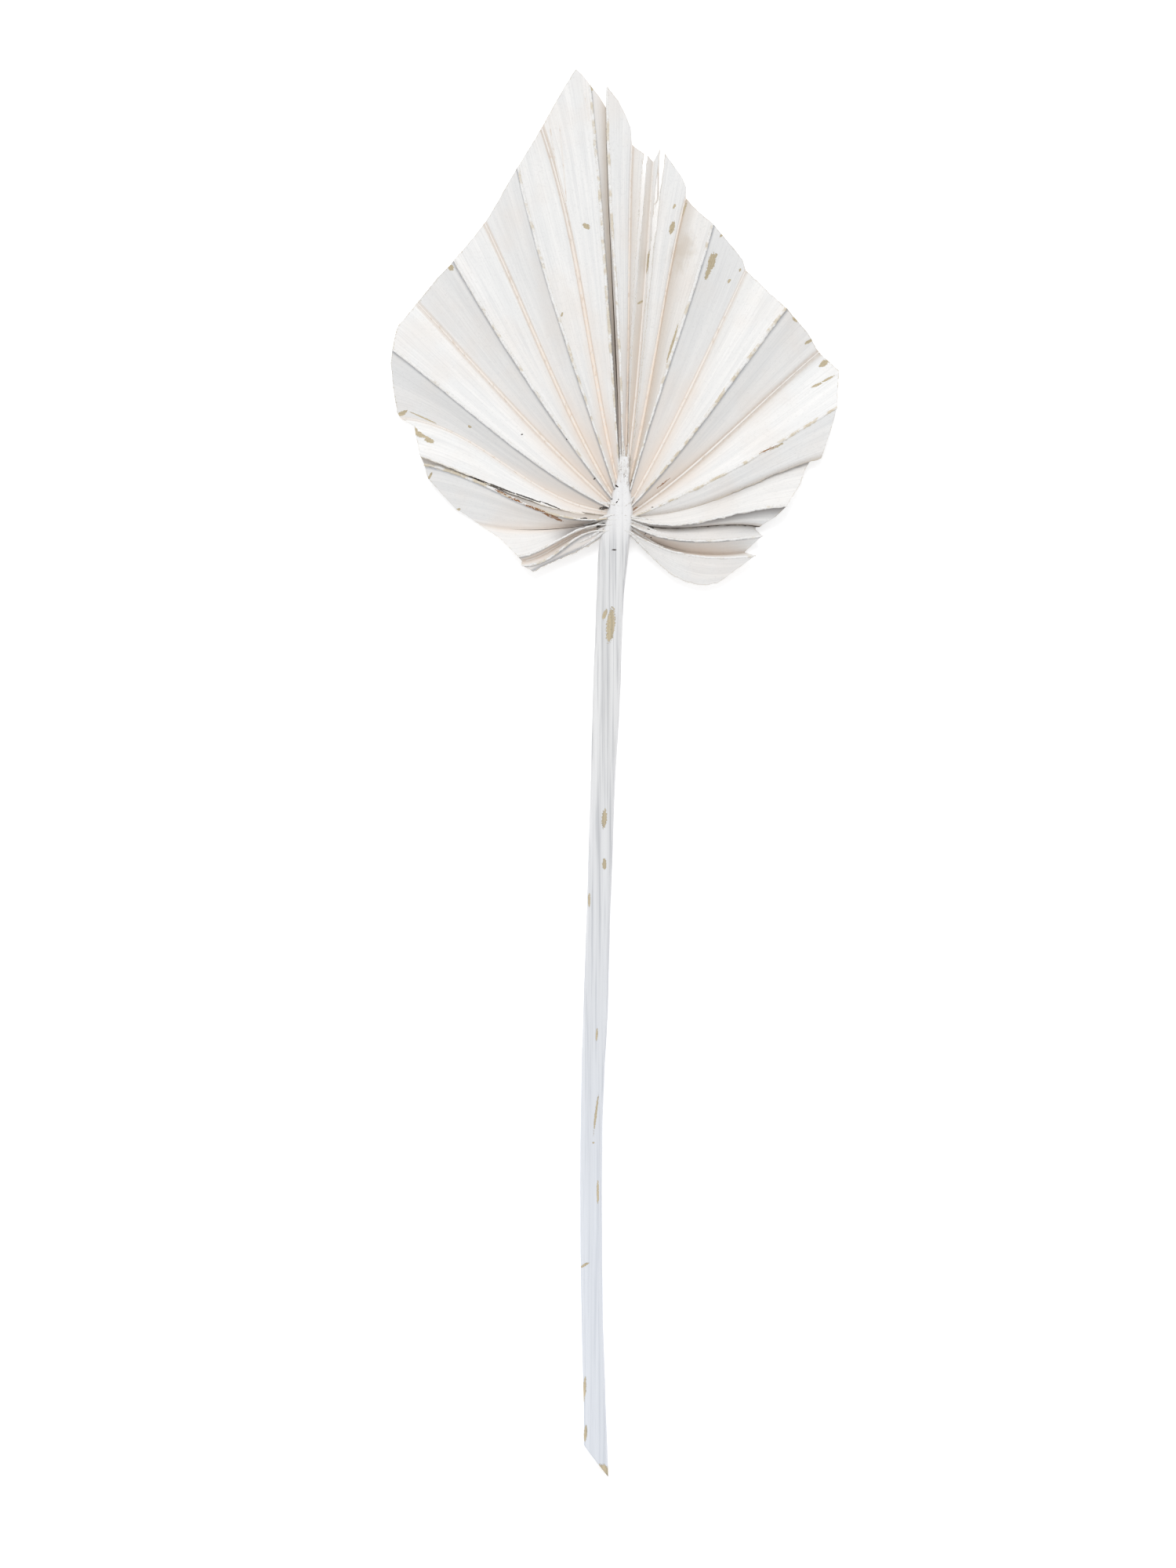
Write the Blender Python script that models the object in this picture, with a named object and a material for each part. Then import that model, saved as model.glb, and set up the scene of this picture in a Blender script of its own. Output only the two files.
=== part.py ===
"""Fan palm leaf: a dried leaf, painted white and trimmed to a spade, lying face up on a flat surface.

The leaf is one grown piece. Its stalk runs into a low boss, the throat, and the blade fans out from
there in pleats: a crest (fold towards the viewer) and a furrow (fold towards the table) by turns.
All lengths below are in millimetres and are measured from the throat, with +Y towards the tip of the
blade, +X to the right and Z up from the table. The finished leaf is moved so that the middle of its
bounding box is over the origin and its lowest points rest on Z = 0.
"""

import math
from typing import NamedTuple

import bmesh
import bpy

MM = 0.001

# Blade
SKIN_THICKNESS = 1.0
ROWS = 18                     # steps along a fold, from the throat to the margin
COLUMNS = 2                   # fewest steps from one fold to the next
CREST_ROOT_HEIGHT = 6.0       # top of the skin where a crest leaves the throat
FURROW_ROOT_HEIGHT = 4.6
FURROW_SAG = 0.6              # how far a furrow hangs below the straight line at its middle
CREST_SWELL = 0.8             # how far a crest stands above the straight line at its middle

# Stalk
STALK_LENGTH = 369.0          # from the throat to the point of the slanting cut
CUT_SLANT = 1.3               # how far the cut end runs along the stalk for each millimetre across it
STALK_ARCH = 1.3              # clearance under the stalk's middle

# Finish
PAINT_COLOUR = (0.86, 0.85, 0.83, 1.0)
PAINT_ROUGHNESS = 0.62


class Fold(NamedTuple):
    """One fold line of the blade, clockwise from the lower left lobe."""

    crest: bool
    root: tuple               # where it leaves the throat
    end: tuple                # where it meets the margin
    bow: float                # how far its middle bulges clockwise
    height: float             # top of the skin at the margin, above the table
    trim: tuple = ()          # corners of the cut margin on the way to the next fold
    split: float = 0.0        # share of its length that is torn open, from the margin inwards
    gap: float = 0.0          # width of the tear at the margin


CREST, FURROW = True, False

FOLDS = (
    # lower left lobe
    Fold(CREST, (-4.2, -9.0), (-31.5, -22.2), -2.5, 5.0),
    Fold(CREST, (-4.6, -7.6), (-35.9, -19.8), -2.1, 7.0),
    Fold(FURROW, (-4.8, -6.4), (-36.2, -18.2), -0.8, 4.2),
    Fold(CREST, (-5.0, -5.2), (-37.5, -16.2), -0.7, 8.0, ((-44.1, -9.5),)),
    Fold(FURROW, (-5.2, -3.8), (-53.0, -3.4), -2.4, 1.2,
         ((-57.9, 0.0), (-61.5, 2.1), (-67.2, 8.2), (-72.0, 13.5))),
    # the long suture of the left side, its upper lip over its lower lip
    Fold(CREST, (-5.4, -2.0), (-73.4, 18.6), -3.0, 5.6),
    Fold(CREST, (-5.6, -0.6), (-75.2, 22.4), -2.0, 8.6, ((-76.5, 29.4), (-77.2, 33.6))),
    Fold(FURROW, (-5.2, 1.0), (-82.5, 36.9), 0.4, 1.1, ((-83.8, 39.0), (-85.3, 48.3), (-86.1, 57.6))),
    Fold(CREST, (-4.9, 2.6), (-85.3, 62.7), -1.0, 10.0, ((-84.3, 68.4), (-83.4, 72.0))),
    # upper left pleats
    Fold(FURROW, (-4.2, 4.4), (-76.2, 81.0), -1.0, 1.0, ((-67.5, 90.9),)),
    Fold(CREST, (-3.7, 6.2), (-61.8, 96.7), -1.5, 11.0, ((-54.9, 105.6),)),
    Fold(FURROW, (-3.2, 8.2), (-50.3, 111.6), -1.4, 1.2),
    Fold(CREST, (-2.7, 10.4), (-37.5, 132.4), -1.2, 11.5),
    Fold(FURROW, (-2.1, 12.8), (-28.5, 148.0), 0.6, 2.4, ((-19.8, 163.2), (-15.2, 170.0), (-12.0, 166.7))),
    # the middle pleats, nearly upright where one crest leans over its furrow
    Fold(CREST, (-1.3, 16.5), (-10.0, 163.8), 0.2, 10.5, ((-6.3, 159.3),)),
    Fold(FURROW, (-0.3, 20.5), (-3.6, 154.6), -0.6, 3.0),
    Fold(CREST, (1.0, 23.5), (-2.0, 162.2), -0.5, 11.0, ((0.9, 157.9), (3.9, 152.2), (5.7, 147.6))),
    Fold(FURROW, (2.1, 22.5), (6.1, 141.3), -0.6, 3.2),
    Fold(CREST, (2.9, 20.5), (11.4, 137.4), -1.6, 7.5, (), 0.66, 1.3),
    Fold(FURROW, (3.5, 18.5), (14.4, 134.7), 0.2, 4.4),
    Fold(CREST, (4.0, 16.5), (17.6, 138.4), -0.6, 8.8, ((25.5, 128.8), (27.0, 125.1)), 0.16, 2.0),
    Fold(FURROW, (4.4, 14.2), (26.7, 120.9), -1.1, 1.8, ((32.9, 114.3),)),
    # upper right pleats
    Fold(CREST, (4.8, 11.8), (37.0, 110.7), -0.7, 10.6, ((42.9, 104.4), (48.6, 97.5))),
    Fold(FURROW, (5.2, 8.6), (49.8, 93.3), 0.7, 1.0),
    Fold(CREST, (5.5, 6.4), (65.0, 78.5), 0.5, 11.0, ((73.8, 69.0),)),
    Fold(FURROW, (5.7, 4.4), (77.8, 62.1), 0.2, 1.1, ((85.5, 54.9), (85.2, 50.7))),
    Fold(CREST, (5.9, 2.6), (84.6, 40.6), 0.7, 9.6, ((82.5, 32.4),)),
    Fold(FURROW, (6.0, 0.8), (77.8, 21.0), 1.6, 1.0, ((71.4, 15.0),), 0.55, 1.2),
    # lower right lobe, narrow pleats that curl down into the stalk
    Fold(CREST, (6.0, -0.8), (65.4, 2.9), 2.7, 9.0),
    Fold(FURROW, (5.9, -2.3), (53.9, -5.6), 0.6, 1.0, (), 0.72, 1.1),
    Fold(CREST, (5.7, -3.8), (56.1, -8.6), 2.4, 7.4),
    Fold(FURROW, (5.4, -5.2), (49.4, -14.4), 3.2, 1.8),
    Fold(CREST, (5.0, -6.8), (53.4, -16.0), 4.6, 7.0, ((46.5, -21.0),)),
    Fold(CREST, (4.2, -9.4), (39.0, -26.4), 5.0, 4.4),
)


class Station(NamedTuple):
    """One cross-section of the stalk and throat: a flat-topped oval."""

    along: float              # Y, from the throat
    middle: float             # X of its middle
    width: float
    underside: float
    top: float


STATIONS = (
    Station(-STALK_LENGTH + 6.5, -7.6, 9.6, 0.0, 5.6),
    Station(-345.0, -8.0, 8.4, 0.0, 5.6),
    Station(-284.0, -9.3, 8.4, 0.0, 5.7),
    Station(-233.0, -9.3, 8.5, 0.0, 5.8),
    Station(-193.0, -7.9, 9.5, 0.0, 6.0),
    Station(-155.0, -6.7, 9.2, 0.0, 6.1),
    Station(-103.0, -5.0, 9.6, 0.0, 6.3),
    Station(-76.0, -3.8, 10.5, 0.0, 6.5),
    Station(-31.0, -2.2, 10.6, 0.0, 6.8),
    Station(-13.0, -0.9, 11.8, 0.0, 7.0),
    Station(-4.0, 0.2, 13.6, 0.4, 7.2),
    Station(4.0, 0.7, 12.2, 1.2, 7.0),
    Station(12.0, 0.9, 8.6, 2.2, 6.8),
    Station(20.0, 1.2, 5.2, 2.8, 6.6),
    Station(28.0, 1.5, 2.0, 3.4, 6.2),
)
SECTION_SIDES = 14
SECTION_SQUARENESS = 0.72     # exponent of the oval: 1 is an ellipse, smaller is boxier


def lerp(start, stop, share):
    """Return the value that lies this share of the way from start to stop."""
    return start + (stop - start) * share


def fold_point(fold, share, end=None, bow=None):
    """Return the plan position on a fold line at this share of its length."""
    (x0, y0), (x1, y1) = fold.root, end or fold.end
    bulge = (fold.bow if bow is None else bow) * 4.0 * share * (1.0 - share)
    length = math.hypot(x1 - x0, y1 - y0)
    across = ((y1 - y0) / length, -(x1 - x0) / length)
    return lerp(x0, x1, share) + across[0] * bulge, lerp(y0, y1, share) + across[1] * bulge


def fold_height(fold, share):
    """Return the height of the skin's top on a fold line."""
    root = CREST_ROOT_HEIGHT if fold.crest else FURROW_ROOT_HEIGHT
    belly = CREST_SWELL if fold.crest else -FURROW_SAG
    return lerp(root, fold.height, share) + belly * 4.0 * share * (1.0 - share)


def margin_points(fold, following):
    """Return the margin from one fold to the next as (share across, point) pairs."""
    corners = [fold.end, *fold.trim, following.end]
    while len(corners) <= COLUMNS:
        corners.insert(1, tuple(lerp(a, b, 0.5) for a, b in zip(corners[0], corners[1])))
    runs = [math.dist(a, b) for a, b in zip(corners, corners[1:])]
    reached = [sum(runs[:count]) / sum(runs) for count in range(len(corners))]
    return list(zip(reached, corners))


def column_points(fold, following, across, end):
    """Return one line of skin points from the throat to the margin, between two folds."""
    root = tuple(lerp(a, b, across) for a, b in zip(fold.root, following.root))
    bow = lerp(fold.bow, following.bow, across)
    between = fold._replace(root=root, end=end, bow=bow)
    points = []
    for row in range(ROWS + 1):
        share = row / ROWS
        height = lerp(fold_height(fold, share), fold_height(following, share), across)
        points.append((*fold_point(between, share), height))
    return points


def torn_columns(shape, fold):
    """Add the two lips of a fold that is torn open near the margin, joined nearer the throat."""
    centre = column_points(fold, fold, 0.0, fold.end)
    joined = round(ROWS * (1.0 - fold.split))
    lips = ([], [])
    for row, (x, y, z) in enumerate(centre):
        opening = 0.5 * fold.gap * max(0, row - joined) / max(1, ROWS - joined)
        if opening == 0.0:
            vert = shape.verts.new((x, y, z))
            lips[0].append(vert)
            lips[1].append(vert)
            continue
        reach = math.hypot(x, y)
        for lip, side in zip(lips, (-1.0, 1.0)):
            lip.append(shape.verts.new((x + side * opening * y / reach, y - side * opening * x / reach, z)))
    return lips


def make_blade():
    """Return the pleated blade as a closed skin."""
    shape = bmesh.new()
    left_lip, right_lip = torn_columns(shape, FOLDS[0])
    for fold, following in zip(FOLDS, FOLDS[1:]):
        columns = [right_lip]
        for across, end in margin_points(fold, following)[1:-1]:
            columns.append([shape.verts.new(p) for p in column_points(fold, following, across, end)])
        left_lip, right_lip = torn_columns(shape, following)
        columns.append(left_lip)
        for near, far in zip(columns, columns[1:]):
            for row in range(ROWS):
                shape.faces.new((near[row], far[row], far[row + 1], near[row + 1]))
    bmesh.ops.recalc_face_normals(shape, faces=shape.faces)
    if sum(face.normal.z for face in shape.faces) < 0.0:
        bmesh.ops.reverse_faces(shape, faces=shape.faces)
    top = list(shape.faces)
    grown = bmesh.ops.extrude_face_region(shape, geom=top, use_keep_orig=True)
    lower = [item for item in grown["geom"] if isinstance(item, bmesh.types.BMVert)]
    bmesh.ops.translate(shape, verts=lower, vec=(0.0, 0.0, -SKIN_THICKNESS))
    bmesh.ops.recalc_face_normals(shape, faces=shape.faces)
    return finish_shape(shape, "blade")


def section_point(station, turn):
    """Return one point of a stalk section, a boxy oval with a flatter top."""
    cosine, sine = math.cos(turn), math.sin(turn)
    x = math.copysign(abs(cosine) ** SECTION_SQUARENESS, cosine)
    z = math.copysign(abs(sine) ** SECTION_SQUARENESS, sine)
    arch = STALK_ARCH * max(0.0, 1.0 - (2.0 * station.along / STALK_LENGTH + 1.0) ** 2)
    middle = 0.5 * (station.underside + station.top)
    height = middle + 0.5 * (station.top - station.underside) * z + arch
    return station.middle + 0.5 * station.width * x, height


def make_stalk():
    """Return the stalk and throat as one loft, its lower end cut on a slant."""
    shape = bmesh.new()
    rings = []
    for number, station in enumerate(STATIONS):
        ring = []
        for side in range(SECTION_SIDES):
            x, z = section_point(station, math.tau * (side + 0.5) / SECTION_SIDES)
            slant = -CUT_SLANT * (x - station.middle) if number == 0 else 0.0
            ring.append(shape.verts.new((x, station.along + slant, z)))
        rings.append(ring)
    for near, far in zip(rings, rings[1:]):
        for side in range(SECTION_SIDES):
            after = (side + 1) % SECTION_SIDES
            shape.faces.new((near[side], near[after], far[after], far[side]))
    shape.faces.new(rings[0])
    shape.faces.new(rings[-1])
    bmesh.ops.recalc_face_normals(shape, faces=shape.faces)
    return finish_shape(shape, "stalk")


def finish_shape(shape, name):
    """Scale a shape from millimetres to metres and return it as an object."""
    bmesh.ops.scale(shape, vec=(MM, MM, MM), verts=shape.verts)
    mesh = bpy.data.meshes.new(name)
    shape.to_mesh(mesh)
    shape.free()
    return bpy.data.objects.new(name, mesh)


def paint():
    """Return the white paint that covers the leaf."""
    material = bpy.data.materials.new("white_paint")
    material.use_nodes = True
    shader = material.node_tree.nodes["Principled BSDF"]
    shader.inputs["Base Color"].default_value = PAINT_COLOUR
    shader.inputs["Roughness"].default_value = PAINT_ROUGHNESS
    shader.inputs["Metallic"].default_value = 0.0
    return material


def join(first, second):
    """Return one closed mesh object made of two that overlap."""
    union = first.modifiers.new("join", "BOOLEAN")
    union.operation = "UNION"
    union.solver = "EXACT"
    union.object = second
    bpy.context.view_layer.update()
    evaluated = first.evaluated_get(bpy.context.evaluated_depsgraph_get())
    joined = bpy.data.meshes.new_from_object(evaluated)
    first.modifiers.remove(union)
    first.data = joined
    bpy.data.objects.remove(second)
    return first


def stand_on_origin(leaf):
    """Move the mesh so that the middle of its box is over the origin and its lowest point is at 0."""
    corners = [vert.co for vert in leaf.data.vertices]
    lows = [min(co[axis] for co in corners) for axis in range(3)]
    highs = [max(co[axis] for co in corners) for axis in range(3)]
    middle = (0.5 * (lows[0] + highs[0]), 0.5 * (lows[1] + highs[1]), lows[2])
    for vert in leaf.data.vertices:
        for axis in range(3):
            vert.co[axis] -= middle[axis]


def main():
    """Clear the scene and build the leaf."""
    for old in list(bpy.data.objects):
        bpy.data.objects.remove(old)
    parts = bpy.data.collections.new("fan_palm_leaf")
    bpy.context.scene.collection.children.link(parts)
    blade, stalk = make_blade(), make_stalk()
    parts.objects.link(blade)
    parts.objects.link(stalk)
    leaf = join(blade, stalk)
    leaf.name = "fan_palm_leaf"
    leaf.data.materials.clear()
    leaf.data.materials.append(paint())
    stand_on_origin(leaf)
    leaf.data.shade_smooth()
    leaf.data.set_sharp_from_angle(angle=math.radians(25.0))


main()
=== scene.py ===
"""The looks of a dried fan palm leaf, painted white, trimmed to a spade and lying face up.

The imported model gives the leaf's place and size. This script makes the surfaces that show: the torn
and pleated lobes of the blade, the fluted stalk with its throat, and the fibres and paint crumbs that
stand on them. Lengths in the tables are millimetres from the throat, where the pleats meet, with +Y
towards the tip of the blade. Folds are listed clockwise, and so are a lobe's columns of points.
"""

from __future__ import annotations

import logging
import math
from dataclasses import dataclass, field
from enum import Enum

import bmesh
import bpy
import numpy as np
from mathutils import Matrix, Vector
from mathutils.bvhtree import BVHTree

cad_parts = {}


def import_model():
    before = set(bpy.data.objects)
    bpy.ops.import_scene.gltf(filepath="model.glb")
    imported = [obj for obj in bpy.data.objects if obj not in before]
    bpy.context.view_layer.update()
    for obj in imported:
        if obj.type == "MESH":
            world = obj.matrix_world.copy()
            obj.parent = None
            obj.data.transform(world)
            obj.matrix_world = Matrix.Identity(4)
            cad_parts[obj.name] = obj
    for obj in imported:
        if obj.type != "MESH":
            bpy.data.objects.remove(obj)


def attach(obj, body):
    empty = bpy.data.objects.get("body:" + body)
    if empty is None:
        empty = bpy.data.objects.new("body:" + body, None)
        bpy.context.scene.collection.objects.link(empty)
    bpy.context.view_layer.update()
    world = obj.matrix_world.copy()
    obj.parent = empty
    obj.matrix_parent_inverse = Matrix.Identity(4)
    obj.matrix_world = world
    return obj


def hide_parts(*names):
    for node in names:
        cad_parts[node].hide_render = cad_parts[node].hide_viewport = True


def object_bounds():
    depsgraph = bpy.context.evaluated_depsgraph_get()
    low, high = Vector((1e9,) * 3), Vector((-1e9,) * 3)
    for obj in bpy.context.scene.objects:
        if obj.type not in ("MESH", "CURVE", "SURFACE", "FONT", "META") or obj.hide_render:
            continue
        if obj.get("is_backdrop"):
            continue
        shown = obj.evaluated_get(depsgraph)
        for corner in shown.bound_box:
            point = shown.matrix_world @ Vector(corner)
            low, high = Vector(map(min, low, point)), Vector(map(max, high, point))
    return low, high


LOG = logging.getLogger("fan_palm_leaf")
MM = 0.001
NODE = "fan_palm_leaf"
BODY = "root"
TIP_REACH = 170.0             # from the throat to the tip of the blade
LEFT_REACH = 86.1             # from the throat to the blade's left side


# --------------------------------------------------------------------------- shader expressions


class Value:
    """A number that a material works out from place to place, with the operators that it needs."""

    def __init__(self, tree: "Recipe", socket: object) -> None:
        """Keep the socket and the recipe that it belongs to."""
        self.tree = tree
        self.socket = socket

    def _math(self, operation: str, *values: object) -> "Value":
        """Return the result of one Math node."""
        return self.tree.value("ShaderNodeMath", {"operation": operation}, *values)

    def __add__(self, other: object) -> "Value":
        """Return the sum."""
        return self._math("ADD", self, other)

    __radd__ = __add__

    def __mul__(self, other: object) -> "Value":
        """Return the product."""
        return self._math("MULTIPLY", self, other)

    __rmul__ = __mul__

    def __sub__(self, other: object) -> "Value":
        """Return the difference."""
        return self._math("SUBTRACT", self, other)

    def __rsub__(self, other: object) -> "Value":
        """Return the difference, with this value taken away."""
        return self._math("SUBTRACT", other, self)

    def __truediv__(self, other: object) -> "Value":
        """Return the quotient."""
        return self._math("DIVIDE", self, other)

    def least(self, other: object) -> "Value":
        """Return the smaller of two values."""
        return self._math("MINIMUM", self, other)

    def most(self, other: object) -> "Value":
        """Return the larger of two values."""
        return self._math("MAXIMUM", self, other)

    def step(self, start: float, stop: float) -> "Value":
        """Return a smooth step: 0 at start and 1 at stop, whichever is larger.

        Args:
            start: the value at which the result is 0.
            stop: the value at which the result is 1.

        Returns:
            A value from 0 to 1.
        """
        low, high = min(start, stop), max(start, stop)
        settings = {"interpolation_type": "SMOOTHSTEP", "clamp": True}
        rising = self.tree.value("ShaderNodeMapRange", settings, self, low, high)
        return rising if start < stop else 1.0 - rising


class Recipe:
    """The node tree of one material, filled from Python expressions."""

    def __init__(self, name: str) -> None:
        """Make an empty material with a Principled shader.

        Args:
            name: the material's name.
        """
        self.material = bpy.data.materials.new(name)
        self.material.use_nodes = True
        self.nodes = self.material.node_tree.nodes
        self.links = self.material.node_tree.links
        self.shader = self.nodes["Principled BSDF"]

    def node(self, kind: str, settings: dict, *values: object, **named: object) -> object:
        """Return a new node with its settings made first and its sockets filled after.

        Args:
            kind: the node's type name.
            settings: attributes of the node, such as a Math node's operation.
            values: numbers, colours or Values for the first sockets, or None to skip one.
            named: the same for sockets given by name, with _ for a space.

        Returns:
            The node.
        """
        made = self.nodes.new(kind)
        for key, value in settings.items():
            setattr(made, key, value)
        for socket, value in zip(made.inputs, values):
            self.feed(socket, value)
        for key, value in named.items():
            self.feed(made.inputs[key.replace("_", " ")], value)
        return made

    def feed(self, socket: object, value: object) -> None:
        """Link a Value to a socket, or set the socket to a constant.

        Args:
            socket: the input to fill.
            value: a Value, an output socket, a constant, or None to leave the input as it is.
        """
        if value is None:
            return
        if isinstance(value, Value):
            self.links.new(value.socket, socket)
        elif hasattr(value, "is_output"):
            self.links.new(value, socket)
        else:
            socket.default_value = value

    def value(self, kind: str, settings: dict, *values: object, **named: object) -> Value:
        """Return the first output of a new node as a Value."""
        return Value(self, self.node(kind, settings, *values, **named).outputs[0])

    def attribute(self, name: str) -> Value:
        """Return a number that the mesh carries at each point."""
        return Value(self, self.node("ShaderNodeAttribute", {"attribute_name": name}).outputs["Fac"])

    def place(self) -> Value:
        """Return the position in the leaf's own frame, in metres."""
        return Value(self, self.node("ShaderNodeTexCoord", {}).outputs["Object"])

    def pleat_map(self) -> Value:
        """Return the piece's own map: millimetres across the veins, and millimetres along them."""
        return Value(self, self.node("ShaderNodeUVMap", {"uv_map": "pleat"}).outputs["UV"])

    def stretch(self, vector: Value, scale: tuple) -> Value:
        """Return a vector scaled along each axis."""
        return self.value("ShaderNodeVectorMath", {"operation": "MULTIPLY"}, vector, scale)

    def noise(self, vector: Value, scale: float, detail: float = 2.0, rough: float = 0.5) -> Value:
        """Return smooth noise from 0 to 1, mostly between 0.3 and 0.7."""
        return self.value("ShaderNodeTexNoise", {}, vector, None, scale, detail, rough)

    def mix(self, share: object, first: object, second: object) -> Value:
        """Return a colour between two others.

        Args:
            share: how much of the second colour shows, from 0 to 1.
            first: the colour under it.
            second: the colour over it.

        Returns:
            The colour.
        """
        node = self.node("ShaderNodeMix", {"data_type": "RGBA"})
        self.feed(node.inputs["Factor"], share)
        self.feed(node.inputs[6], first)
        self.feed(node.inputs[7], second)
        return Value(self, node.outputs[2])

    def bump(self, height: Value, strength: float, distance: float, under: Value | None = None) -> Value:
        """Roughen a surface.

        Args:
            height: the height field, from 0 to 1.
            strength: how much of it shows.
            distance: the height that 1 stands for, in metres.
            under: a normal that is rough already.

        Returns:
            The new normal.
        """
        node = self.node("ShaderNodeBump", {}, Strength=strength, Distance=distance, Height=height)
        self.feed(node.inputs["Normal"], under)
        return Value(self, node.outputs[0])

    def finish(self, colour: Value, roughness: object, normal: Value | None = None) -> bpy.types.Material:
        """Feed the shader.

        Args:
            colour: the base colour.
            roughness: a number or a Value.
            normal: the bumped normal, if there is one.

        Returns:
            The material.
        """
        self.feed(self.shader.inputs["Base Color"], colour)
        self.feed(self.shader.inputs["Roughness"], roughness)
        self.feed(self.shader.inputs["Normal"], normal)
        self.shader.inputs["Specular IOR Level"].default_value = 0.25
        return self.material


# --------------------------------------------------------------------------- finishes


def linear(red: int, green: int, blue: int) -> tuple[float, float, float, float]:
    """Turn a colour in display steps into linear light.

    Args:
        red: from 0 to 255.
        green: from 0 to 255.
        blue: from 0 to 255.

    Returns:
        The colour, with an alpha of 1.
    """
    def decode(step: int) -> float:
        """Return one channel as linear light."""
        share = step / 255.0
        return share / 12.92 if share <= 0.04045 else ((share + 0.055) / 1.055) ** 2.4
    return decode(red), decode(green), decode(blue), 1.0


@dataclass(frozen=True)
class Chip:
    """A place where the paint is off: an oval, turned anticlockwise, with ragged edges."""

    x: float
    y: float
    length: float
    width: float
    turn: float = 0.0


@dataclass(frozen=True)
class Palette:
    """The colours of the paint, of the dried leaf under it and the soil and browning on it, and of the
    shade painted into its folds and slots.
    """

    # the dried leaf under the paint, the soil and rust on it, and the near black painted as shade into
    # slots and pits
    straw: tuple = linear(205, 190, 160)
    bare: tuple = linear(184, 172, 146)
    rust: tuple = linear(150, 105, 66)
    soil: tuple = linear(84, 66, 50)
    slot_and_pit_shade: tuple = linear(44, 33, 26)
    brown: tuple = linear(158, 140, 120)
    damp: tuple = linear(205, 192, 176)
    dry_face: tuple = linear(200, 185, 168)
    # the paint on the blade, and the shade painted onto it beside crests, midribs and on shaded faces
    chalk: tuple = linear(247, 246, 244)
    chalk_shade: tuple = linear(238, 238, 237)
    vein: tuple = linear(219, 219, 220)
    mottle: tuple = linear(222, 222, 222)
    painted_face_shade: tuple = linear(220, 219, 218)
    warm: tuple = linear(236, 226, 217)
    lip_shade: tuple = linear(160, 162, 167)
    groove_shade: tuple = linear(200, 180, 159)
    painted_shadow: tuple = linear(150, 146, 144)
    speck: tuple = linear(150, 140, 124)
    # the stalk
    stalk_light: tuple = linear(231, 231, 231)
    stalk_dark: tuple = linear(219, 219, 219)
    stalk_streak: tuple = linear(186, 187, 189)
    painted_cool_cast: tuple = linear(222, 228, 238)
    stalk_head: tuple = linear(242, 241, 241)
    stalk_pit: tuple = linear(52, 40, 34)
    # what grows or lies on the blade
    rib_paint: tuple = linear(241, 239, 236)
    rib_bare: tuple = linear(243, 230, 217)
    rib_chalk: tuple = linear(238, 236, 233)
    rib_tan: tuple = linear(214, 194, 173)
    scurf_paint: tuple = linear(242, 241, 239)
    scurf_straw: tuple = linear(214, 201, 176)
    scurf_grey: tuple = linear(178, 172, 162)
    scurf_speck: tuple = linear(128, 112, 92)
    fibre: tuple = linear(236, 231, 222)
    crumb_light: tuple = linear(234, 233, 231)
    crumb_dark: tuple = linear(198, 191, 184)
    crumb_speck: tuple = linear(116, 100, 86)
    # the floor
    floor: tuple = linear(250, 250, 250)


PALETTE = Palette()


# --------------------------------------------------------------------------- the folds


class Kind(Enum):
    """What a fold line is."""

    CREST = "fold towards the viewer, an old seam between two leaflets"
    FURROW = "fold towards the table, a leaflet's midrib"
    EDGE = "free edge, cut or torn"


CREST, FURROW, EDGE = Kind.CREST, Kind.FURROW, Kind.EDGE
SHADES = (0.0, 0.35, 0.6, 1.0)  # places along a fold at which its shadow is given
GAPS = (0.0, 0.33, 1.0)         # places along a fold at which its gap is given
WAVE_RUN = 150.0                # length over which a fold's unevenness is drawn
FAR = 60.0                      # stands for a distance that no finish minds


@dataclass(frozen=True)
class Fold:
    """One fold line of the blade, from the throat to the trimmed margin."""

    kind: Kind
    root: tuple[float, float]
    end: tuple[float, float]
    bow: float                # how far the middle bulges clockwise
    skew: float               # how far the bulge leans to the throat's half
    height: float             # top of the skin at the margin, above the table
    trim: tuple = ()          # corners of the cut margin on the way to the next fold
    lean: float = 0.0         # how far a crest's lip hangs over, clockwise
    cream: float = 0.3        # how much bare midrib shows in a furrow
    dirt: float = 0.0         # how brown a furrow or edge is; from 0.85 a torn edge also gets a near-black line of painted shade
    tan: float = 0.0          # how much bare leaf shows on the face that follows
    shadow: tuple = ()        # how much painted shadow greys the face that follows, at the places in SHADES
    gap: tuple = ()           # widths of a near-black slot of painted shade before a furrow: throat, a third of the way, margin
    wear: float = 0.5         # how much paint is off a crest or edge
    root_height: float | None = None

    def start_height(self) -> float:
        """Return the height of the skin's top at the throat."""
        if self.root_height is not None:
            return self.root_height
        return {Kind.CREST: 6.9, Kind.FURROW: 4.4, Kind.EDGE: 5.4}[self.kind]

    def line(self, share: np.ndarray) -> np.ndarray:
        """Return plan points on the fold line.

        Args:
            share: places along the fold, from 0 at the throat to 1 at the margin.

        Returns:
            One row for each place.
        """
        start, stop = np.array(self.root), np.array(self.end)
        run = stop - start
        across = np.array((run[1], -run[0])) / np.hypot(*run)
        belly = 4.0 * share * (1.0 - share)
        bulge = self.bow * belly + 2.0 * self.skew * belly * (1.0 - 2.0 * share)
        return start + share[:, None] * run + bulge[:, None] * across

    def heights(self, share: np.ndarray) -> np.ndarray:
        """Return the heights of the skin's top along the fold.

        Args:
            share: places along the fold.

        Returns:
            One height for each place.
        """
        belly = {Kind.CREST: 0.9, Kind.FURROW: -0.7, Kind.EDGE: 0.0}[self.kind]
        run = self.start_height() + (self.height - self.start_height()) * share
        return run + belly * 4.0 * share * (1.0 - share)


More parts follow.
